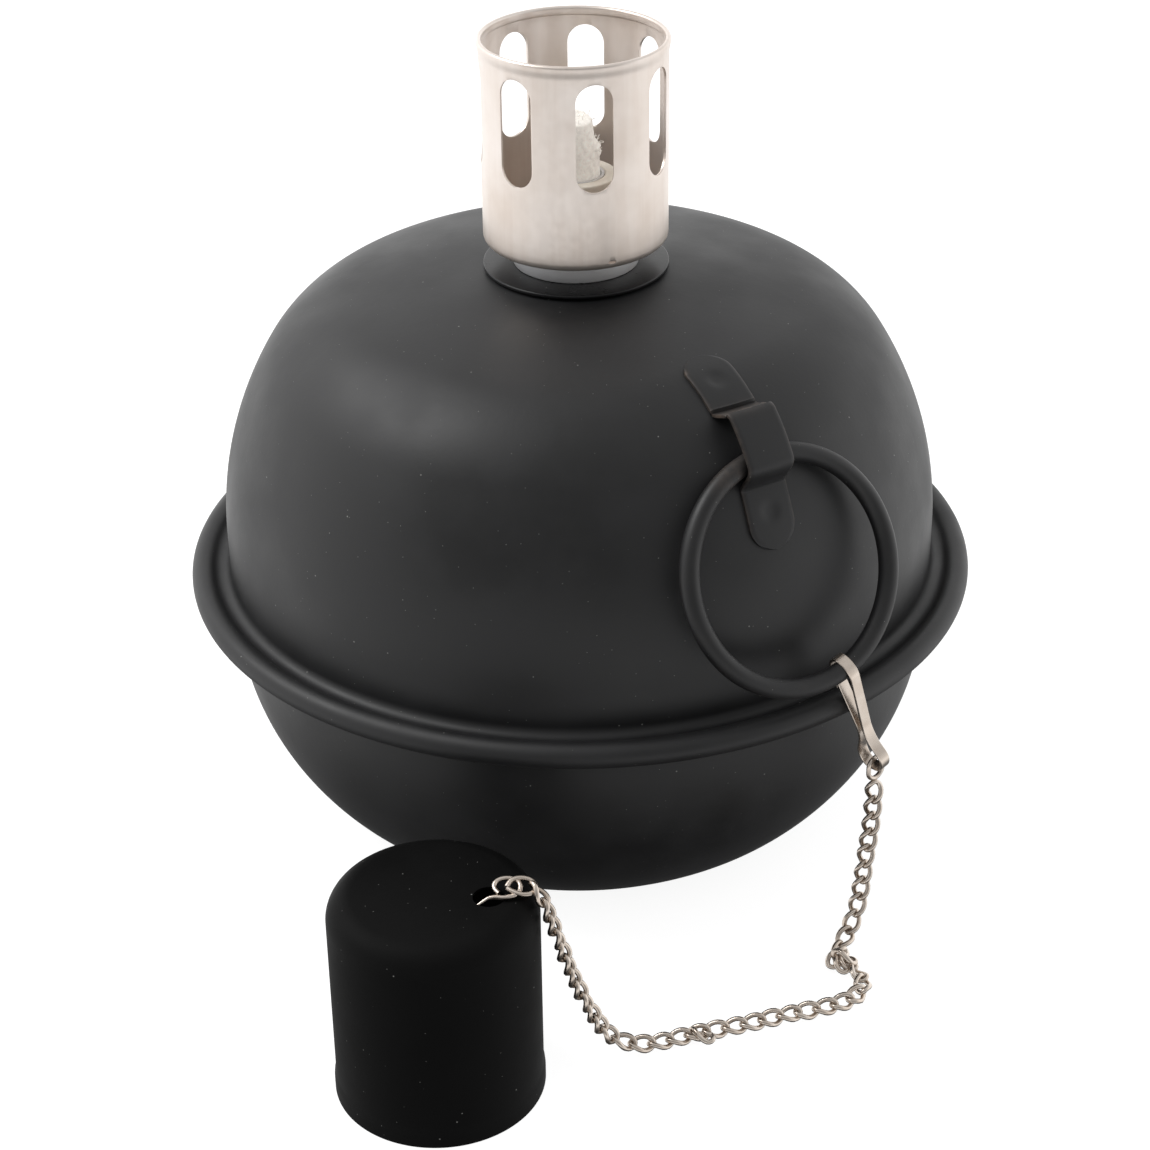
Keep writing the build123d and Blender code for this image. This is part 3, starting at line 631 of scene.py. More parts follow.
def bowl_run(inset):
    """Bowl's line from its wall to the middle of the base, moved in by inset."""
    start = BOWL_CURVE * sin(radians(BOWL_LEAN)) + BASE_CURVE * (1 - sin(radians(BOWL_LEAN)))
    wall = WALL - BOWL_INSET
    base = (wall - BOWL_CURVE + (BOWL_CURVE - BASE_CURVE) * cos(radians(BOWL_LEAN)), BASE_CURVE)
    return (
        arc((wall - BOWL_CURVE, start), BOWL_CURVE - inset, 0, -BOWL_LEAN, 34)
        + arc(base, BASE_CURVE - inset, -BOWL_LEAN, -90, 8)[1:]
        + [(24, inset), (0, inset)]
    )


def shell_point(distance, lift):
    """Point (radius, height) on the upper shell at a distance up from the shoulder's foot."""
    if distance < 0:
        centre, curve, lean = SIDE_CENTRE, SIDE_CURVE, SIDE_LEAN + degrees(distance / SIDE_CURVE)
    elif distance < SHOULDER_RUN:
        centre, curve = SHOULDER_CENTRE, SHOULDER_CURVE
        lean = SIDE_LEAN + degrees(distance / SHOULDER_CURVE)
    else:
        centre, curve = CROWN_CENTRE, CROWN_CURVE
        lean = SHOULDER_LEAN + degrees((distance - SHOULDER_RUN) / CROWN_CURVE)
    lean = radians(lean)
    return centre[0] + (curve + lift) * cos(lean), centre[1] + (curve + lift) * sin(lean)


def pressed(radius, height, azimuth):
    """Faint unevenness of a drawn and rolled shell, under a tenth of a millimetre."""
    spot = outward(azimuth) * radius + Vector((0, 0, height))
    wobble = noise.noise(spot * 0.035) * 0.07
    return radius + wobble * min(1, radius / 20), height


# ------------------------------------------------------------------ pieces: pot
class TORCH_OT_pot(bpy.types.Operator):
    """Makes the upper shell with its rolled seam, the lower bowl and the neck plate"""

    bl_idname = "torch.pot"
    bl_label = "Pot"

    def execute(self, context):
        finish = context.scene.torch_finishes
        outline = upper_run(0) + list(reversed(upper_run(SHEET)))
        upper = turned("pot_upper_shell", outline, 224, pressed)
        settle(upper, "pot", "black_paint", pot_enamel(), "upper_shell")

        under = (WALL - BOWL_INSET + FLANGE_FILLET, FLANGE_BOTTOM - FLANGE_FILLET)
        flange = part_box("lower_bowl")[1].x / MM
        outline = (
            list(reversed(bowl_run(0)))
            + arc(under, FLANGE_FILLET, 180, 90, 6)
            + [(flange, FLANGE_BOTTOM), (flange, FLANGE_TOP)]
            + arc(under, FLANGE_FILLET + SHEET, 90, 180, 6)
            + bowl_run(SHEET)
        )
        bowl = turned("pot_lower_bowl", outline, 224, pressed)
        settle(bowl, "pot", "black_paint", pot_enamel(), "lower_bowl")

        outline = rounded(
            [
                (BORE, PLATE_TOP), (PLATE, PLATE_TOP), (PLATE, PLATE_BASE), (BORE + NECK_WALL, PLATE_BASE),
                (BORE + NECK_WALL, PLATE_BASE - NECK_DEPTH), (BORE, PLATE_BASE - NECK_DEPTH),
            ],
            PLATE_EDGE,
        )
        plate = turned("neck_plate_pressed", outline, 160)
        gloss = material("Glossy black enamel", enamel, tuple(finish.plate_enamel), 0.28, gloss=0.28)
        settle(plate, "pot", "gloss_black_paint", gloss, "neck_plate")
        return {"FINISHED"}


# ------------------------------------------------------------------ pieces: burner
def slot_cutter_tree():
    """Geometry nodes that make one slot cutter and repeat it round an upright axis."""
    tree, given = started(
        "Slots round a wall", Count="Int", First="Float", Pitch="Float", Width="Float", Height="Float",
        Middle="Float", Reach="Float", Material="Material",
    )
    half = add(tree, "ShaderNodeMath", {0: given["Width"], 1: 0.4999}, operation="MULTIPLY").outputs[0]
    flat = add(
        tree, "GeometryNodeCurvePrimitiveQuadrilateral",
        {"Width": given["Width"], "Height": given["Height"]},
    )
    stadium = add(
        tree, "GeometryNodeFilletCurve",
        {"Curve": flat.outputs["Curve"], "Radius": half, "Limit Radius": True, "Count": 14},
        mode="POLY",
    )
    face = add(tree, "GeometryNodeFillCurve", {"Curve": stadium.outputs["Curve"]})
    stood = add(
        tree, "GeometryNodeTransform",
        {"Geometry": face.outputs["Mesh"], "Rotation": (pi / 2, 0, 0)},
    )
    run = add(tree, "ShaderNodeCombineXYZ", {"Y": -1.0}).outputs["Vector"]
    wall = add(
        tree, "GeometryNodeExtrudeMesh",
        {
            "Mesh": stood.outputs["Geometry"], "Offset": run, "Offset Scale": given["Reach"],
            "Individual": False,
        },
    )
    back = add(tree, "GeometryNodeFlipFaces", {"Mesh": stood.outputs["Geometry"]})
    both = add(tree, "GeometryNodeJoinGeometry")
    tree.links.new(back.outputs["Mesh"], both.inputs["Geometry"])
    tree.links.new(wall.outputs["Mesh"], both.inputs["Geometry"])
    closed = add(
        tree, "GeometryNodeMergeByDistance", {"Geometry": both.outputs["Geometry"], "Distance": 1e-6}
    )
    raised = add(tree, "ShaderNodeCombineXYZ", {"Z": given["Middle"]}).outputs["Vector"]
    places = add(
        tree, "GeometryNodeMeshLine",
        {"Count": given["Count"], "Start Location": raised, "Offset": (0, 0, 0)},
    )
    index = add(tree, "GeometryNodeInputIndex").outputs["Index"]
    step = add(
        tree, "ShaderNodeMath", {0: index, 1: given["Pitch"], 2: given["First"]}, operation="MULTIPLY_ADD"
    ).outputs[0]
    turn = add(tree, "ShaderNodeCombineXYZ", {"Z": step}).outputs["Vector"]
    copies = add(
        tree, "GeometryNodeInstanceOnPoints",
        {"Points": places.outputs["Mesh"], "Instance": closed.outputs["Geometry"], "Rotation": turn},
    )
    return ended(tree, copies, given["Material"])


def grown(name, tree, host_mesh, values):
    """Plain mesh object of what a node tree makes from a host mesh, with its named inputs set."""
    host = bpy.data.objects.new(name, host_mesh)
    bpy.context.scene.collection.objects.link(host)
    modifier = host.modifiers.new("nodes", "NODES")
    modifier.node_group = tree
    for item in tree.interface.items_tree:
        if item.item_type == "SOCKET" and item.in_out == "INPUT" and item.name in values:
            modifier[item.identifier] = values[item.name]
    return applied(host)


def guard_heat_and_shade(spot):
    """Brown tint of the guard's inner wall, with painted shade that deepens it low down in the cup."""
    inside = 1 - smoothstep(GUARD - 0.4, GUARD - 0.15, hypot(spot.x, spot.y))
    return inside * (0.38 + 1.0 * (1 - smoothstep(COLLAR_TOP + 10, COLLAR_TOP + 31, spot.z)))


class TORCH_OT_burner(bpy.types.Operator):
    """Makes the collar, the slotted wind guard, the wick tube and its ring"""

    bl_idname = "torch.burner"
    bl_label = "Burner"

    def execute(self, context):
        finish = context.scene.torch_finishes
        zinc = material("Dull zinc plate", plated, tuple(finish.zinc), 0.4, film=0.55)
        nickel = material(
            "Handled nickel plate", plated, tuple(finish.nickel), finish.nickel_roughness,
            film=0.25, tint=tuple(finish.heat),
        )
        pale = material(
            "Tarnished pale plate", plated, srgb("#efece3"), 0.5, film=0.8, tint=srgb("#3f4234")
        )
        self.make_collar(zinc)
        self.make_guard(nickel)
        self.make_wick_tube(zinc, pale)
        return {"FINISHED"}

    def make_collar(self, zinc):
        """The collar that shows above the neck plate, and the plug under it."""
        hole, plug = TUBE_HOLE, BORE - BURNER_FIT
        inner = plug - COLLAR_WALL
        outline = rounded(
            [
                (hole, COLLAR_TOP), (COLLAR, COLLAR_TOP), (COLLAR, PLATE_TOP), (plug, PLATE_TOP),
                (plug, PLUG_BOTTOM), (hole, PLUG_BOTTOM), (hole, PLUG_BOTTOM + COLLAR_WALL),
                (inner, PLUG_BOTTOM + COLLAR_WALL), (inner, COLLAR_TOP - COLLAR_WALL),
                (hole, COLLAR_TOP - COLLAR_WALL),
            ],
            0.2,
        )
        collar = turned("burner_collar_drawn", outline, 144)
        settle(collar, "burner", "zinc_plate", zinc, "burner_collar")

    def make_guard(self, nickel):
        """The drawn cup round the flame, its rim folded back and its wall slotted."""
        inner = GUARD - GUARD_SHEET
        corner = (GUARD - GUARD_CORNER, COLLAR_TOP + GUARD_CORNER)
        crest = (GUARD + inner) / 2
        wall = [COLLAR_TOP + GUARD_CORNER + 1.2 * i for i in range(1, 29)]
        rises = (-0.6, -0.3, 0.0, 0.3, 0.6, 0.9, 1.2, 1.5)
        bend = GUARD_SHEET / 2 + HEM_PROUD
        outline = (
            arc(corner, GUARD_CORNER, 270, 360, 8)
            + [(GUARD, height) for height in wall]
            + [
                (GUARD + HEM_PROUD * smoothstep(-0.6, 1.5, rise), GUARD_TOP - HEM_HEIGHT + rise)
                for rise in rises
            ]
            + arc((crest, GUARD_TOP - bend), bend, 0, 180, 12)
            + [(inner - HEM_PROUD, GUARD_TOP - HEM_INNER + 0.2)]
            + [(inner - HEM_PROUD * 0.7, GUARD_TOP - HEM_INNER + 0.03), (inner, GUARD_TOP - HEM_INNER - 0.1)]
            + [(inner, height) for height in reversed(wall)]
            + arc(corner, GUARD_CORNER - GUARD_SHEET, 360, 270, 8)
            + [(TUBE_HOLE, COLLAR_TOP + GUARD_SHEET), (TUBE_HOLE, COLLAR_TOP)]
        )
        guard = turned("wind_guard_drawn", outline, 256)
        middle = COLLAR_TOP + SLOT_FLOOR + SLOT_HEIGHT / 2
        tree = slot_cutter_tree()
        values = {
            "Count": SLOT_COUNT, "First": radians(SLOT_FIRST), "Pitch": radians(SLOT_PITCH),
            "Width": SLOT_WIDTH * MM, "Height": SLOT_HEIGHT * MM, "Middle": middle * MM,
            "Reach": (GUARD + GUARD_CORNER) * MM, "Material": nickel,
        }
        cut(guard, grown("slots", tree, bpy.data.meshes.new("slots"), values))
        values |= {
            "Count": 1, "First": radians(NOTCH_AZIMUTH), "Width": NOTCH_WIDTH * MM,
            "Height": NOTCH_HEIGHT * MM, "Middle": (COLLAR_TOP + GUARD_CORNER) * MM,
        }
        cut(guard, grown("notch", tree, bpy.data.meshes.new("notch"), values))
        bpy.data.node_groups.remove(tree)
        edge = guard.modifiers.new("edge", "BEVEL")
        edge.width = 0.09 * MM
        edge.segments = 2
        edge.limit_method = "ANGLE"
        edge.angle_limit = radians(50)
        edge.harden_normals = False
        applied(guard)
        guard.data.shade_smooth()
        guard.data.set_sharp_from_angle(angle=radians(40))
        # brown tint inside the guard, deepened by painted shade low in the cup
        paint(guard, "heat", guard_heat_and_shade)
        settle(guard, "burner", "nickel_plate", nickel, "wind_guard")

    def make_wick_tube(self, zinc, pale):
        """The wick's tube, which clamps the guard, and the pale ring round its top."""
        top, floor = COLLAR_TOP + TUBE_TOP, COLLAR_TOP + GUARD_SHEET
        outline = rounded(
            [
                (TUBE_BORE, top), (TUBE, top), (TUBE, floor + FLANGE_THICK),
                (TUBE_FLANGE, floor + FLANGE_THICK), (TUBE_FLANGE, floor), (TUBE, floor),
                (TUBE, PLUG_BOTTOM - TUBE_TAIL), (TUBE_BORE, PLUG_BOTTOM - TUBE_TAIL),
            ],
            0.12,
        )
        settle(turned("wick_tube_drawn", outline, 96), "burner", "zinc_plate", zinc, "wick_tube")
        outline = rounded(
            [
                (TUBE_HOLE, top - RING_DEPTH), (TUBE_HOLE, top), (WICK_RING, top),
                (WICK_RING, top - RING_DEPTH),
            ],
            0.4,
        )
        wick_ring = turned("wick_ring_pressed", outline, 96)
        # dark greenish tint below the top face: tarnish on the ring's edge, painted shade on its underside
        paint(wick_ring, "heat", lambda spot: 1.4 * (1 - smoothstep(top - 0.9, top - 0.3, spot.z)))
        settle(wick_ring, "burner", "wick_ring_plate", pale, "wick_ring")


# ------------------------------------------------------------------ pieces: wick
def fray_tree():
    """Geometry nodes that stand loose, bent fibres on a surface."""
    tree, given = started(
        "Frayed fibres", Fibres="Float", Length="Float", Radius="Float", Seed="Int", Material="Material"
    )
    loose = add(tree, "GeometryNodeInputNamedAttribute", {"Name": "fray"}, data_type="FLOAT")
    density = add(
        tree, "ShaderNodeMath", {0: loose.outputs["Attribute"], 1: given["Fibres"]}, operation="MULTIPLY"
    ).outputs[0]
    spots = add(
        tree, "GeometryNodeDistributePointsOnFaces",
        {"Mesh": given["Geometry"], "Density": density, "Seed": given["Seed"]},
        distribute_method="RANDOM",
    )
    line = add(tree, "GeometryNodeCurveQuadraticBezier", {"Resolution": 5})
    tip = add(tree, "ShaderNodeCombineXYZ", {"Z": given["Length"]}).outputs["Vector"]
    sideways = add(tree, "ShaderNodeMath", {0: given["Length"], 1: 0.5}, operation="MULTIPLY").outputs[0]
    bent = add(tree, "ShaderNodeCombineXYZ", {"X": sideways, "Z": sideways}).outputs["Vector"]
    tree.links.new(bent, line.inputs["Middle"])
    tree.links.new(tip, line.inputs["End"])
    line.inputs["Start"].default_value = (0, 0, 0)
    ring = add(tree, "GeometryNodeCurvePrimitiveCircle", {"Resolution": 4, "Radius": given["Radius"]})
    strand = add(
        tree, "GeometryNodeCurveToMesh",
        {"Curve": line.outputs["Curve"], "Profile Curve": ring.outputs["Curve"], "Fill Caps": True},
    )
    spin = add(
        tree, "FunctionNodeRandomValue",
        {0: (-0.7, -0.7, -3.1), 1: (0.7, 0.7, 3.1), "Seed": given["Seed"]}, data_type="FLOAT_VECTOR",
    ).outputs[0]
    turned_by = add(
        tree, "FunctionNodeRotateRotation",
        {"Rotation": spots.outputs["Rotation"], "Rotate By": spin}, rotation_space="LOCAL",
    ).outputs["Rotation"]
    scale = add(
        tree, "FunctionNodeRandomValue", {2: 0.45, 3: 1.25, "Seed": given["Seed"]}, data_type="FLOAT"
    ).outputs[1]
    copies = add(
        tree, "GeometryNodeInstanceOnPoints",
        {
            "Points": spots.outputs["Points"], "Instance": strand.outputs["Mesh"],
            "Rotation": turned_by, "Scale": scale,
        },
    )
    return ended(tree, copies, given["Material"])


def wick_ring_points(height, shrink, settings):
    """Ring of the wick's surface: braided, leaning a little, with torn steps down its right side."""
    top = COLLAR_TOP + TUBE_TOP
    above = max(0.0, height - top)
    lean = settings.lean / MM * (above / WICK_RISE) ** 1.5
    step = (above * 0.52 + 0.35) % 1.0
    tooth = 0.9 * (1 - step) ** 0.6 * smoothstep(3.1, 4.2, above) * (1 - smoothstep(6.4, 7.2, above))
    points = []
    for i in range(96):
        angle = 2 * pi * i / 96
        braid = 0.7 * cos(5 * angle + 1.4 * sin(height * 0.7)) + 0.3 * cos(13 * angle + height * 1.7)
        right = max(0.0, cos(angle - 0.35)) ** 3
        torn = right * (0.9 * smoothstep(3.0, 7.5, above) - tooth)
        radius = (WICK - 0.15 + min(0.0, braid - 0.4) * settings.braid / MM - torn) * shrink
        points.append((radius * cos(angle) - lean, radius * sin(angle), height))
    return points


class TORCH_OT_wick(bpy.types.Operator):
    """Makes the braided wick with its frayed end"""

    bl_idname = "torch.wick"
    bl_label = "Wick"

    def execute(self, context):
        settings = context.scene.torch_wick
        low, high = (corner.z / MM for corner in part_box("wick"))
        top = COLLAR_TOP + TUBE_TOP
        heights = [low + (top - 3 - low) * i / 60 for i in range(60)] + [
            top - 3 + (high - 0.6 - top + 3) * i / 56 for i in range(57)
        ]
        rings = [wick_ring_points(height, 1.0, settings) for height in heights]
        for step, shrink in ((0.3, 0.93), (0.5, 0.75), (0.6, 0.4), (0.55, 0.1)):
            rings.append(wick_ring_points(high - 0.6 + step, shrink, settings))
        braid = skin("wick_braid", rings, smooth_angle=60)
        cotton = material("Braided cotton", cotton_braid)

        def fray(spot):
            side = 0.8 * smoothstep(top + 3.6, top + 4.6, spot.z) * smoothstep(3.2, 4.4, spot.x)
            return max(side, smoothstep(high - 1.2, high - 0.3, spot.z))

        paint(braid, "fray", fray)
        tree = fray_tree()
        area = 60 * MM * MM
        values = {
            "Fibres": settings.fibres / area, "Length": settings.fibre_length, "Radius": 0.07 * MM,
            "Seed": settings.seed, "Material": cotton,
        }
        fibres = grown("wick_fibres", tree, braid.data.copy(), values)
        bpy.data.node_groups.remove(tree)
        settle(fibres, "wick", "cotton", cotton)
        settle(braid, "wick", "cotton", cotton, "wick")
        return {"FINISHED"}


# ------------------------------------------------------------------ pieces: strap, ring and clip
HANG = outward(HANDLE_AZIMUTH) * sin(radians(HANDLE_TILT)) + Vector((0, 0, -cos(radians(HANDLE_TILT))))
ACROSS = outward(HANDLE_AZIMUTH + 90)


def strap_lift(distance):
    """Height of the strap's underside above the shell, with short rounded folds."""
    spots = [distance + shift for shift in (-0.7, -0.35, 0.0, 0.35, 0.7)]
    rise = sum(ramp(*RAMP_UP, spot) for spot in spots) / len(spots)
    fall = sum(ramp(RAMP_DOWN[1], RAMP_DOWN[0], spot) for spot in spots) / len(spots)
    return HUMP_CLEAR * rise * fall


def ramp(low, high, value):
    """Straight rise from 0 at the one end to 1 at the other."""
    return min(1.0, max(0.0, (value - low) / (high - low)))


def strap_rings():
    """Sections of the strap from its upper to its lower rounded end."""
    steps, columns, half = 150, 20, STRAP_WIDTH / 2
    rings = []
    for i in range(steps + 1):
        turn = pi * i / steps        # steps close up towards both rounded ends
        part = 0.5 - 0.5 * cos(turn) * (1 - 0.12 * sin(turn) ** 2)
        distance = STRAP_TOP + (STRAP_BOTTOM - STRAP_TOP) * part
        ends = min(STRAP_TOP - distance, distance - STRAP_BOTTOM)
        width = half if ends >= half else max(0.25, sqrt(max(0.0, half**2 - (half - ends) ** 2)))
        ahead, behind = (Vector(shell_point(d, strap_lift(d))) for d in (distance - 0.05, distance + 0.05))
        along = (ahead - behind).normalized()
        normal = Vector((-along.y, along.x))
        if normal.x < 0:
            normal = -normal
        base = Vector(shell_point(distance, strap_lift(distance) + 0.03))
        top, under = [], []
        for j in range(columns + 1):
            offset = width * (2 * j / columns - 1)
            dent = sum(
                DIMPLE_DEPTH * exp(-(((distance - d) ** 2 + offset**2) / DIMPLE_RADIUS**2) ** 1.5)
                for d in DIMPLES
            )
            edge = 0.22 * smoothstep(width - 0.5, width, abs(offset)) if width > 0.6 else 0.1
            for lift, row in ((STRAP_THICK - dent - edge, top), (0.0, under)):
                spot = base + normal * lift
                azimuth = STRAP_AZIMUTH + degrees(offset / spot.x)
                row.append(outward(azimuth) * spot.x + Vector((0, 0, spot.y)))
        rings.append(top + list(reversed(under)))
    return rings


def strap_wear(spot):
    """Bare metal along the strap's edges and over the hump's bend."""
    radius = hypot(spot.x, spot.y)
    azimuth = degrees(atan2(spot.x, -spot.y)) - STRAP_AZIMUTH
    offset = abs(radians(azimuth) * radius)
    edge = smoothstep(STRAP_WIDTH / 2 - 0.55, STRAP_WIDTH / 2 - 0.1, offset)
    bend = Vector(shell_point(9.6, HUMP_CLEAR * 0.6))
    fold = 0.5 * exp(-((Vector((radius, spot.z)) - bend).length / 2.2) ** 2)
    rust = Vector(shell_point(20.5, 0))
    rusty = outward(STRAP_AZIMUTH - 6.0) * rust.x + Vector((0, 0, rust.y))
    return min(1.0, 0.3 * edge + fold + 1.2 * exp(-((spot - rusty).length / 0.7) ** 2))


def handle_frame():
    """Pivot, centre and directions of the carrying ring."""
    radius, height = shell_point(RING_SEAT, HANDLE_GAP + WIRE)
    pivot = outward(STRAP_AZIMUTH) * radius + Vector((0, 0, height))
    to_centre = HANG * cos(radians(HANDLE_TURN)) + ACROSS * sin(radians(HANDLE_TURN))
    return pivot, pivot + to_centre * HANDLE


def clip_frame():
    """Wire's centre under the clip, and the clip's axis, down and outward directions."""
    station = radians(CLIP_STATION)
    pivot = handle_frame()[1] + (ACROSS * sin(station) - HANG * cos(station)) * HANDLE
    axis = (HANG * -sin(station) - ACROSS * cos(station)).normalized()
    plumb = (Vector((0, 0, -1)) + axis * axis.z).normalized()
    stand_off = plumb.cross(axis)
    lean = radians(CLIP_TILT)
    down = plumb * cos(lean) + stand_off * sin(lean)
    out = stand_off * cos(lean) - plumb * sin(lean)
    return pivot, axis, down, out, stand_off


def filleted(points, radii, steps=7):
    """Line through flat points with an arc at each inner corner."""
    line = [Vector(points[0])]
    for before, corner, after, radius in zip(points, points[1:], points[2:], radii):
        a, b, c = Vector(before), Vector(corner), Vector(after)
        back, on = (a - b).normalized(), (c - b).normalized()
        half = back.angle(on) / 2
        reach = radius / abs(sin(half) / cos(half))
        centre = b + (back + on).normalized() * (radius / sin(half))
        first, last = b + back * reach - centre, b + on * reach - centre
        turn = first.angle(last)
        for i in range(steps + 1):
            t = i / steps
            line.append(centre + (first * sin((1 - t) * turn) + last * sin(t * turn)) / sin(turn))
    line.append(Vector(points[-1]))
    return line


class TORCH_OT_handle(bpy.types.Operator):
    """Makes the welded strap, the carrying ring and the spring clip"""

    bl_idname = "torch.handle"
    bl_label = "Strap, ring and clip"

    def execute(self, context):
        strap = skin("handle_strap_welded", strap_rings(), smooth_angle=38)
        paint(strap, "wear", strap_wear)
        settle(strap, "pot", "black_paint", handled_enamel(), "handle_strap")

        pivot, centre = handle_frame()
        facing = ACROSS.cross(HANG)
        rings = []
        for i in range(160):
            angle = 2 * pi * i / 160
            spoke = ACROSS * sin(angle) - HANG * cos(angle)
            ring = []
            for j in range(28):
                turn = 2 * pi * j / 28
                thick = WIRE + 0.02 * noise.noise(Vector((cos(angle), sin(angle), j * 0.2)) * 3)
                ring.append(centre + spoke * (HANDLE + thick * cos(turn)) + facing * (thick * sin(turn)))
            rings.append(ring)
        ring = skin("carrying_ring_wire", rings, loop=True)
        rub = pivot + ACROSS * -7 + HANG * 1.2

        def ring_wear(spot):
            return 0.3 * exp(-((spot - rub).length / 4.0) ** 2) + 0.08 * max(0.0, noise.noise(spot * 0.25))

        paint(ring, "wear", ring_wear)
        settle(ring, "ring", "black_paint", handled_enamel(), "handle_ring")

        pivot, axis, down, out, _ = clip_frame()
        hook = WIRE + CLIP_PLAY + CLIP_SHEET / 2
        line = filleted([(-hook - 0.15, -4.6), (-hook, hook), (hook, hook), *CLIP_LINE], CLIP_BENDS, 14)
        origin = pivot + down * CLIP_DROP
        half_width, half_thick, edge = CLIP_WIDTH / 2, CLIP_SHEET / 2, CLIP_EDGE
        section = [
            (half_width, half_thick - edge), (half_width - edge, half_thick),
            (edge - half_width, half_thick), (-half_width, half_thick - edge),
            (-half_width, edge - half_thick), (edge - half_width, -half_thick),
            (half_width - edge, -half_thick), (half_width, edge - half_thick),
        ]
        rings = []
        for i, spot in enumerate(line):
            along = (line[min(i + 1, len(line) - 1)] - line[max(i - 1, 0)]).normalized()
            normal = Vector((-along.y, along.x))
            rings.append(
                [
                    origin + out * (spot.x + normal.x * lift) - down * (spot.y + normal.y * lift)
                    + axis * across
                    for across, lift in section
                ]
            )
        clip = skin("spring_clip_bent", rings, smooth_angle=30)
        settle(clip, "clip", "chain_steel", wire_plate(), "spring_clip")
        return {"FINISHED"}


# ------------------------------------------------------------------ pieces: snuffer cap
class TORCH_OT_cap(bpy.types.Operator):
    """Makes the snuffer cap with the chain's hole"""

    bl_idname = "torch.cap"
    bl_label = "Snuffer cap"

    def execute(self, context):
        finish = context.scene.torch_finishes
        shoulder = (CAP - CAP_SHOULDER, CAP_HEIGHT - CAP_SHOULDER)
        outline = (
            [(0, CAP_HEIGHT)]
            + [(r, CAP_HEIGHT) for r in (4, 8, 11)]
            + arc(shoulder, CAP_SHOULDER, 90, 0, 14)
            + [(CAP, LIP_HEIGHT + 1.2), (CAP + 0.06, LIP_HEIGHT + 0.6), (CAP + LIP_PROUD * 0.8, LIP_HEIGHT)]
            + [(CAP + LIP_PROUD, LIP_HEIGHT - 0.6), (CAP + LIP_PROUD, 0.15), (CAP + LIP_PROUD - 0.15, 0)]
            + [(CAP_BORE + 0.1, 0), (CAP_BORE, 0.1)]
            + arc(shoulder, CAP_SHOULDER - CAP_WALL, 0, 90, 12)
            + [(0, CAP_HEIGHT - CAP_WALL)]
        )

        def drawn(radius, height, azimuth):
            dull = 0.05 * noise.noise(outward(azimuth) * radius * 0.12 + Vector((0, 0, height * 0.08)))
            return radius + (dull if radius > CAP_BORE - 1 and height > 5 else 0), height

        cap = turned("snuffer_cap_drawn", outline, 192, drawn, CAP_AXIS)
        centre = CAP_AXIS + Vector((*HOLE_AT, 0))
        rings = [
            [centre + outward(360 * i / 48) * HOLE + Vector((0, 0, height)) for i in range(48)]
            for height in (CAP_HEIGHT - 3, CAP_HEIGHT + 3)
        ]
        cut(cap, skin("hole", rings))
        coat = material("Dull cap enamel", enamel, tuple(finish.cap_enamel), 0.62, gloss=0.08)
        settle(cap, "cap", "cap_paint", coat, "snuffer_cap")
        return {"FINISHED"}


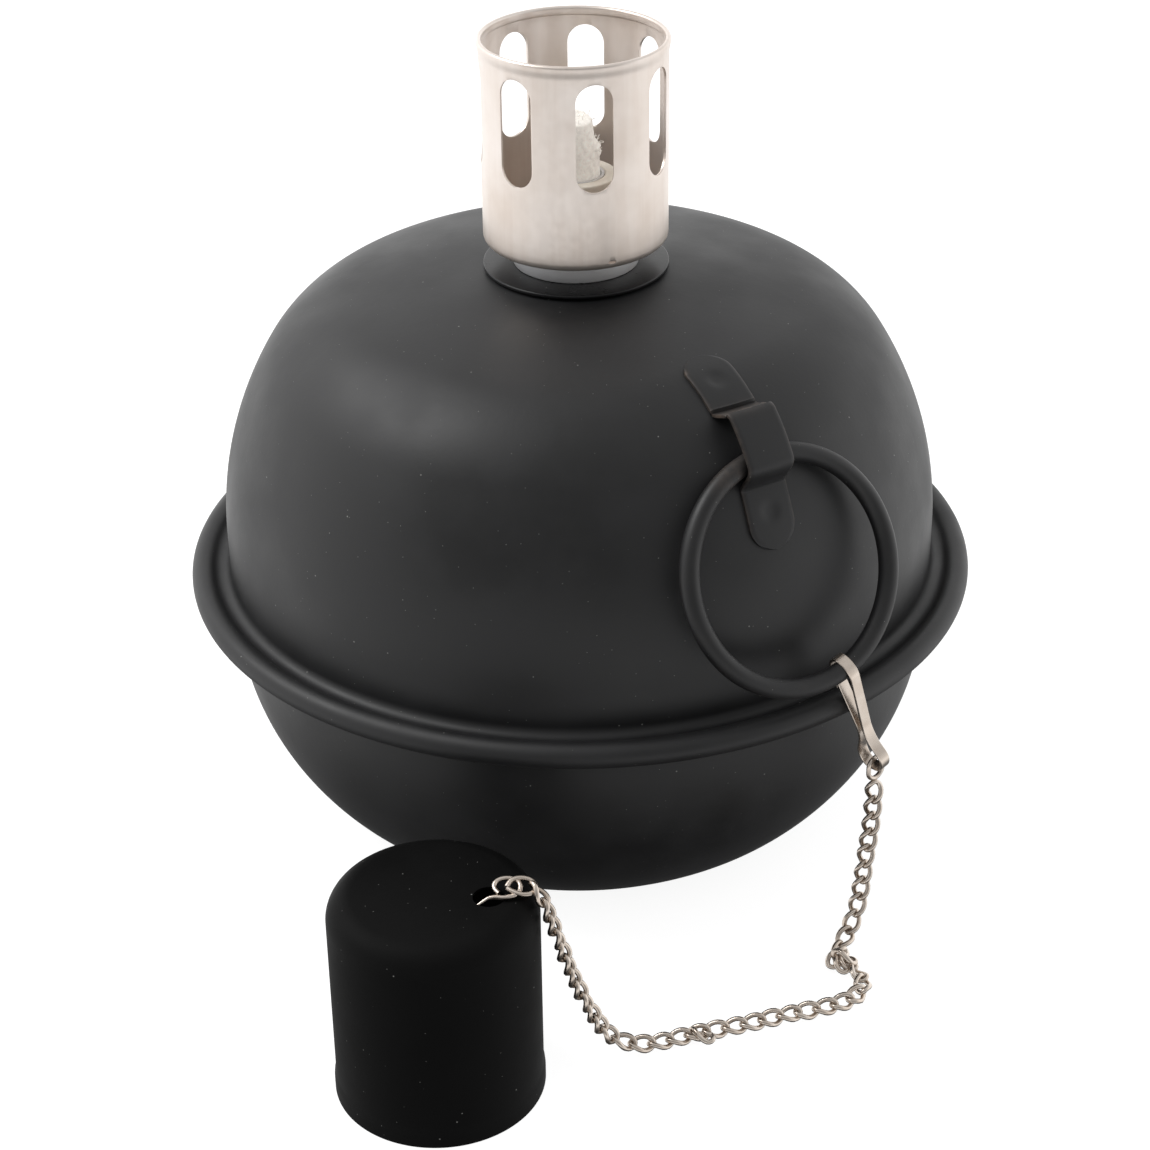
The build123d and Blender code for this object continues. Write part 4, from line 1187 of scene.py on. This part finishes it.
# ------------------------------------------------------------------ pieces: chain
def link_tree():
    """Geometry nodes that stand one twisted wire link on each point of a route."""
    tree, given = started(
        "Twisted links", Wire="Float", Length="Float", Width="Float", Twist="Float", Roll="Float",
        Seed="Int", Material="Material",
    )

    reach = add(tree, "ShaderNodeMath", {0: given["Length"], 1: given["Wire"]}, operation="SUBTRACT")
    spread = add(tree, "ShaderNodeMath", {0: given["Width"], 1: given["Wire"]}, operation="SUBTRACT")
    circle = add(tree, "GeometryNodeCurvePrimitiveCircle", {"Resolution": 24, "Radius": 0.5})
    spot = add(tree, "ShaderNodeSeparateXYZ", {"Vector": add(tree, "GeometryNodeInputPosition").outputs[0]})
    x, y = spot.outputs["X"], spot.outputs["Y"]
    angle = add(tree, "ShaderNodeMath", {0: x, 1: given["Twist"]}, operation="MULTIPLY").outputs[0]
    side = add(tree, "ShaderNodeMath", {0: y, 1: spread.outputs[0]}, operation="MULTIPLY").outputs[0]
    run = add(tree, "ShaderNodeMath", {0: x, 1: reach.outputs[0]}, operation="MULTIPLY").outputs[0]
    cosine, sine = (
        add(tree, "ShaderNodeMath", {0: angle}, operation=name).outputs[0] for name in ("COSINE", "SINE")
    )
    flat = add(tree, "ShaderNodeMath", {0: side, 1: cosine}, operation="MULTIPLY").outputs[0]
    lifted = add(tree, "ShaderNodeMath", {0: side, 1: sine}, operation="MULTIPLY").outputs[0]
    bent = add(tree, "ShaderNodeCombineXYZ", {"X": run, "Y": flat, "Z": lifted}).outputs["Vector"]
    loop = add(tree, "GeometryNodeSetPosition", {"Geometry": circle.outputs["Curve"], "Position": bent})
    half = add(tree, "ShaderNodeMath", {0: given["Wire"], 1: 0.5}, operation="MULTIPLY").outputs[0]
    profile = add(tree, "GeometryNodeCurvePrimitiveCircle", {"Resolution": 8, "Radius": half})
    link = add(
        tree, "GeometryNodeCurveToMesh",
        {"Curve": loop.outputs["Geometry"], "Profile Curve": profile.outputs["Curve"]},
    )
    smooth = add(tree, "GeometryNodeSetShadeSmooth", {"Geometry": link.outputs["Mesh"]})
    along, up = (
        add(tree, "GeometryNodeInputNamedAttribute", {"Name": name}, data_type="FLOAT_VECTOR")
        .outputs["Attribute"]
        for name in ("along", "up")
    )
    pose = add(
        tree, "FunctionNodeAxesToRotation", {"Primary Axis": along, "Secondary Axis": up},
        primary_axis="X", secondary_axis="Z",
    ).outputs["Rotation"]
    most = given["Roll"]
    least = add(tree, "ShaderNodeMath", {0: most, 1: -1.0}, operation="MULTIPLY").outputs[0]
    uneven = add(
        tree, "FunctionNodeRandomValue", {2: least, 3: most, "Seed": given["Seed"]}, data_type="FLOAT"
    )
    spin = add(tree, "ShaderNodeCombineXYZ", {"X": uneven.outputs[1]}).outputs["Vector"]
    rolled = add(
        tree, "FunctionNodeRotateRotation", {"Rotation": pose, "Rotate By": spin}, rotation_space="LOCAL"
    ).outputs["Rotation"]
    copies = add(
        tree, "GeometryNodeInstanceOnPoints",
        {"Points": given["Geometry"], "Instance": smooth.outputs["Geometry"], "Rotation": rolled},
    )
    return ended(tree, copies, given["Material"])


def chain_route():
    """Points, in metres and close together, along the chain's smooth line."""
    curve = bpy.data.curves.new("chain_route", "CURVE")
    curve.dimensions = "3D"
    curve.resolution_u = 24
    spline = curve.splines.new("NURBS")
    spline.points.add(len(CHAIN_POINTS) - 1)
    for knot, point in zip(spline.points, CHAIN_POINTS):
        knot.co = (*(Vector(point) * MM), 1)
    spline.order_u = 3
    spline.use_endpoint_u = True
    holder = bpy.data.objects.new("chain_route", curve)
    mesh = bpy.data.meshes.new_from_object(holder)
    points = [vertex.co.copy() for vertex in mesh.vertices]
    bpy.data.objects.remove(holder)
    bpy.data.curves.remove(curve)
    bpy.data.meshes.remove(mesh)
    return points


def measured(points):
    """Distance along a line at each of its points."""
    steps = [0.0]
    for a, b in zip(points, points[1:]):
        steps.append(steps[-1] + (b - a).length)
    return steps


def at(points, steps, distance):
    """Point of the line at a distance along it."""
    spots = np.array([tuple(p) for p in points])
    return Vector([float(np.interp(distance, steps, spots[:, k])) for k in range(3)])


def chain_piece(name, tree, joints, ups, loose, settings):
    """One run of links between joints of the chain, and loose links knotted beside it."""
    centres = [(a + b) / 2 for a, b in zip(joints, joints[1:])]
    alongs = [(b - a).normalized() for a, b in zip(joints, joints[1:])]
    for spot, along, up in loose:
        centres.append(Vector(spot) * MM)
        alongs.append(Vector(along))
        ups = [*ups, Vector(up)]
    host = bpy.data.meshes.new(name)
    host.from_pydata([tuple(c) for c in centres], [], [])
    for label, vectors in (("along", alongs), ("up", ups)):
        attribute = host.attributes.new(label, "FLOAT_VECTOR", "POINT")
        attribute.data.foreach_set("vector", [x for v in vectors for x in v])
    values = {
        "Wire": settings.wire, "Length": settings.length, "Width": settings.width, "Twist": settings.twist,
        "Roll": settings.roll, "Seed": settings.seed, "Material": wire_plate(),
    }
    piece = grown(name, tree, host, values)
    piece.data.materials.clear()
    piece.data.materials.append(wire_plate())
    return piece


class TORCH_OT_chain(bpy.types.Operator):
    """Makes the chain's links along its route and the wire links at its two ends"""

    bl_idname = "torch.chain"
    bl_label = "Chain"

    def execute(self, context):
        settings = context.scene.torch_chain
        points = chain_route()
        steps = measured(points)
        pitch = settings.length - 2 * settings.wire
        count = round(steps[-1] / pitch)
        pitch = steps[-1] / count
        joints = [at(points, steps, pitch * i) for i in range(count + 1)]
        alongs = [(b - a).normalized() for a, b in zip(joints, joints[1:])]
        # from the one link that lies flat, each faces as nearly as it can the way its neighbour does
        flat = min(range(count), key=lambda i: abs(joints[i].x - 30 * MM) + (joints[i].z > 3 * MM))
        ups = [Vector((0, -0.45, 0.9))] * count
        ups[flat] = (ups[flat] - alongs[flat] * ups[flat].dot(alongs[flat])).normalized()
        for order in (range(flat + 1, count), range(flat - 1, -1, -1)):
            last = flat
            for i in order:
                up = ups[last] - alongs[i] * ups[last].dot(alongs[i])
                ups[i] = up.normalized()
                last = i
        tree = link_tree()
        first, last = round(HANGING * MM / pitch), count - round(RISING * MM / pitch)
        runs = (
            ("chain_hanging", 0, first, "clip", "ring", (), ()),
            ("chain_lying", first, last, "ring", "pot", LOOSE_LINKS, ("chain_run",)),
            ("chain_rising", last, count, "pot", "cap", (), ("chain_end",)),
        )
        for name, start, end, near, far, loose, nodes in runs:
            piece = chain_piece(name, tree, joints[start:end + 1], ups[start:end], loose, settings)
            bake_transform(piece)
            if nodes:
                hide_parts(*nodes)
        bpy.data.node_groups.remove(tree)
        self.make_end_links()
        return {"FINISHED"}

    def make_end_links(self):
        """The oval link in the clip's loop and the opened link hooked through the cap."""
        pivot, axis, down, out, stand_off = clip_frame()
        floor = pivot + down * (CLIP_DROP - LOOP_BOTTOM)
        wire = LINK_WIRE
        width = CLIP_WIDTH + 2 * (wire + LINK_PLAY)
        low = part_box("clip_link")[0].z / MM
        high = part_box("clip_link")[1].z / MM
        middle = Vector((floor.x, floor.y, (low + high) / 2))
        across = Vector((0, 0, 1)).cross(stand_off)
        half, bend = (LINK_LENGTH - wire) / 2, (width - wire) / 2
        rings = []
        for i in range(48):
            angle = 2 * pi * i / 48
            centre = middle + across * (bend * cos(angle)) + Vector((0, 0, 1)) * (
                bend * sin(angle) + (half - bend) * (1 if sin(angle) >= 0 else -1)
            )
            spoke = across * cos(angle) + Vector((0, 0, sin(angle)))
            rings.append(
                [
                    centre + (spoke * cos(2 * pi * j / 12) + stand_off * sin(2 * pi * j / 12)) * (wire / 2)
                    for j in range(12)
                ]
            )
        link = skin("clip_end_link", rings, loop=True, smooth_angle=60)
        settle(link, "clip", "chain_steel", wire_plate(), "clip_link")

        top = Vector((CAP_AXIS.x, CAP_AXIS.y, CAP_HEIGHT))
        taper = [0.4, 0.55, 0.7, 0.85] + [1.0] * (len(END_LINK) - 4)
        hooked = tube("cap_end_link", [top + Vector(p) for p in END_LINK], END_WIRE, taper)
        settle(hooked, "cap", "chain_steel", wire_plate(), "cap_link")
        closed = tube("cap_middle_link", [top + Vector(p) for p in MIDDLE_LINK], MIDDLE_WIRE)
        settle(closed, "cap", "chain_steel", wire_plate())


# ------------------------------------------------------------------ stage
class TORCH_OT_stage(bpy.types.Operator):
    """Makes the camera, the pale floor and the soft light"""

    bl_idname = "torch.stage"
    bl_label = "Camera, floor and light"

    def execute(self, context):
        stage = context.scene.torch_stage
        camera_data = bpy.data.cameras.new("camera")
        camera_data.sensor_width = 36
        camera_data.lens = stage.lens
        camera_data.clip_start, camera_data.clip_end = 0.01, 20
        camera = bpy.data.objects.new("camera", camera_data)
        context.scene.collection.objects.link(camera)
        ahead = Vector(
            (sin(stage.yaw) * cos(stage.pitch), cos(stage.yaw) * cos(stage.pitch), -sin(stage.pitch))
        )
        right = Vector((cos(stage.yaw), -sin(stage.yaw), 0))
        up = right.cross(ahead)
        c, s = cos(stage.roll), sin(stage.roll)
        turned_right, turned_up = right * c + up * s, up * c - right * s
        turn = Matrix((turned_right, turned_up, -ahead)).transposed().to_4x4()
        camera.matrix_world = Matrix.Translation((0, -stage.distance, stage.height)) @ turn
        context.scene.camera = camera

        floor_mesh = bpy.data.meshes.new("floor")
        corners = [(x * FLOOR_REACH, y * FLOOR_REACH, 0) for x, y in ((-1, -1), (1, -1), (1, 1), (-1, 1))]
        floor_mesh.from_pydata(corners, [], [(0, 1, 2, 3)])
        floor = bpy.data.objects.new("floor", floor_mesh)
        context.scene.collection.objects.link(floor)
        pale, tree, shader, _ = new_material("Pale floor")
        shader.inputs["Base Color"].default_value = tuple(c * 0.3 for c in stage.floor) + (1,)
        shader.inputs["Roughness"].default_value = 0.9
        shader.inputs["Specular IOR Level"].default_value = 0.0
        shader.inputs["Emission Color"].default_value = (*stage.floor, 1)
        shader.inputs["Emission Strength"].default_value = stage.glow
        floor_mesh.materials.append(pale)
        floor.visible_glossy = False
        floor.visible_diffuse = False

        world = bpy.data.worlds.new("world")
        world.use_nodes = True
        self.light_room(world.node_tree, stage.world)
        context.scene.world = world
        softbox = bpy.data.lights.new("softbox", "AREA")
        softbox.shape = "RECTANGLE"
        softbox.size, softbox.size_y = SOFTBOX_SIZE
        softbox.energy = stage.key
        light = bpy.data.objects.new("softbox", softbox)
        context.scene.collection.objects.link(light)
        place = Vector(SOFTBOX_PLACE)
        aim = Vector(SOFTBOX_AIM) - place
        light.matrix_world = Matrix.Translation(place) @ aim.to_track_quat("-Z", "Y").to_matrix().to_4x4()
        context.scene.view_settings.view_transform = "Standard"
        return {"FINISHED"}

    def light_room(self, tree, strength):
        """Even studio room: bright walls behind and beside, a low bright front, dark above it and below."""
        direction = add(tree, "ShaderNodeTexCoord").outputs["Generated"]
        part = add(tree, "ShaderNodeSeparateXYZ", {"Vector": direction}).outputs
        height, front = (
            add(tree, "ShaderNodeMapRange", {"Value": part[name], "From Min": low, "From Max": high})
            .outputs["Result"]
            for name, low, high in (("Z", -1.0, 1.0), ("Y", -0.1, -0.75))
        )
        levels = []
        for stops in (ROOM_BEHIND, ROOM_IN_FRONT):
            node = add(tree, "ShaderNodeValToRGB", {"Fac": height})
            while len(node.color_ramp.elements) < len(stops):
                node.color_ramp.elements.new(0.5)
            for element, (place, level) in zip(node.color_ramp.elements, stops):
                element.position = place
                element.color = (level, level, level, 1)
            levels.append(node.outputs["Color"])
        background = tree.nodes["Background"]
        room = add(tree, "ShaderNodeMix", {0: front, 6: levels[0], 7: levels[1]}, data_type="RGBA")
        tree.links.new(room.outputs[2], background.inputs["Color"])
        background.inputs["Strength"].default_value = strength


class TORCH_PT_panel(bpy.types.Panel):
    """Buttons that make the torch's pieces, in order"""

    bl_idname = "TORCH_PT_panel"
    bl_label = "Oil torch"
    bl_space_type = "VIEW_3D"
    bl_region_type = "UI"
    bl_category = "Oil torch"

    def draw(self, context):
        for operator in OPERATORS:
            self.layout.operator(operator.bl_idname)
        for name, group in SETTINGS.items():
            box = self.layout.box()
            for setting in group.__annotations__:
                box.prop(getattr(context.scene, name), setting)


OPERATORS = (
    TORCH_OT_stage, TORCH_OT_chain, TORCH_OT_pot, TORCH_OT_burner, TORCH_OT_wick, TORCH_OT_handle,
    TORCH_OT_cap,
)
SETTINGS = {
    "torch_finishes": TorchFinishes, "torch_chain": TorchChain, "torch_wick": TorchWick,
    "torch_stage": TorchStage,
}
CLASSES = (*SETTINGS.values(), *OPERATORS, TORCH_PT_panel)


def register():
    for item in CLASSES:
        bpy.utils.register_class(item)
    for name, group in SETTINGS.items():
        setattr(bpy.types.Scene, name, PointerProperty(type=group))


def unregister():
    for name in SETTINGS:
        delattr(bpy.types.Scene, name)
    for item in reversed(CLASSES):
        bpy.utils.unregister_class(item)


def main():
    register()
    bpy.ops.torch.stage()
    bpy.ops.torch.chain()
    bpy.ops.torch.pot()
    bpy.ops.torch.burner()
    bpy.ops.torch.wick()
    bpy.ops.torch.handle()
    bpy.ops.torch.cap()


if __name__ == "__main__":
    main()
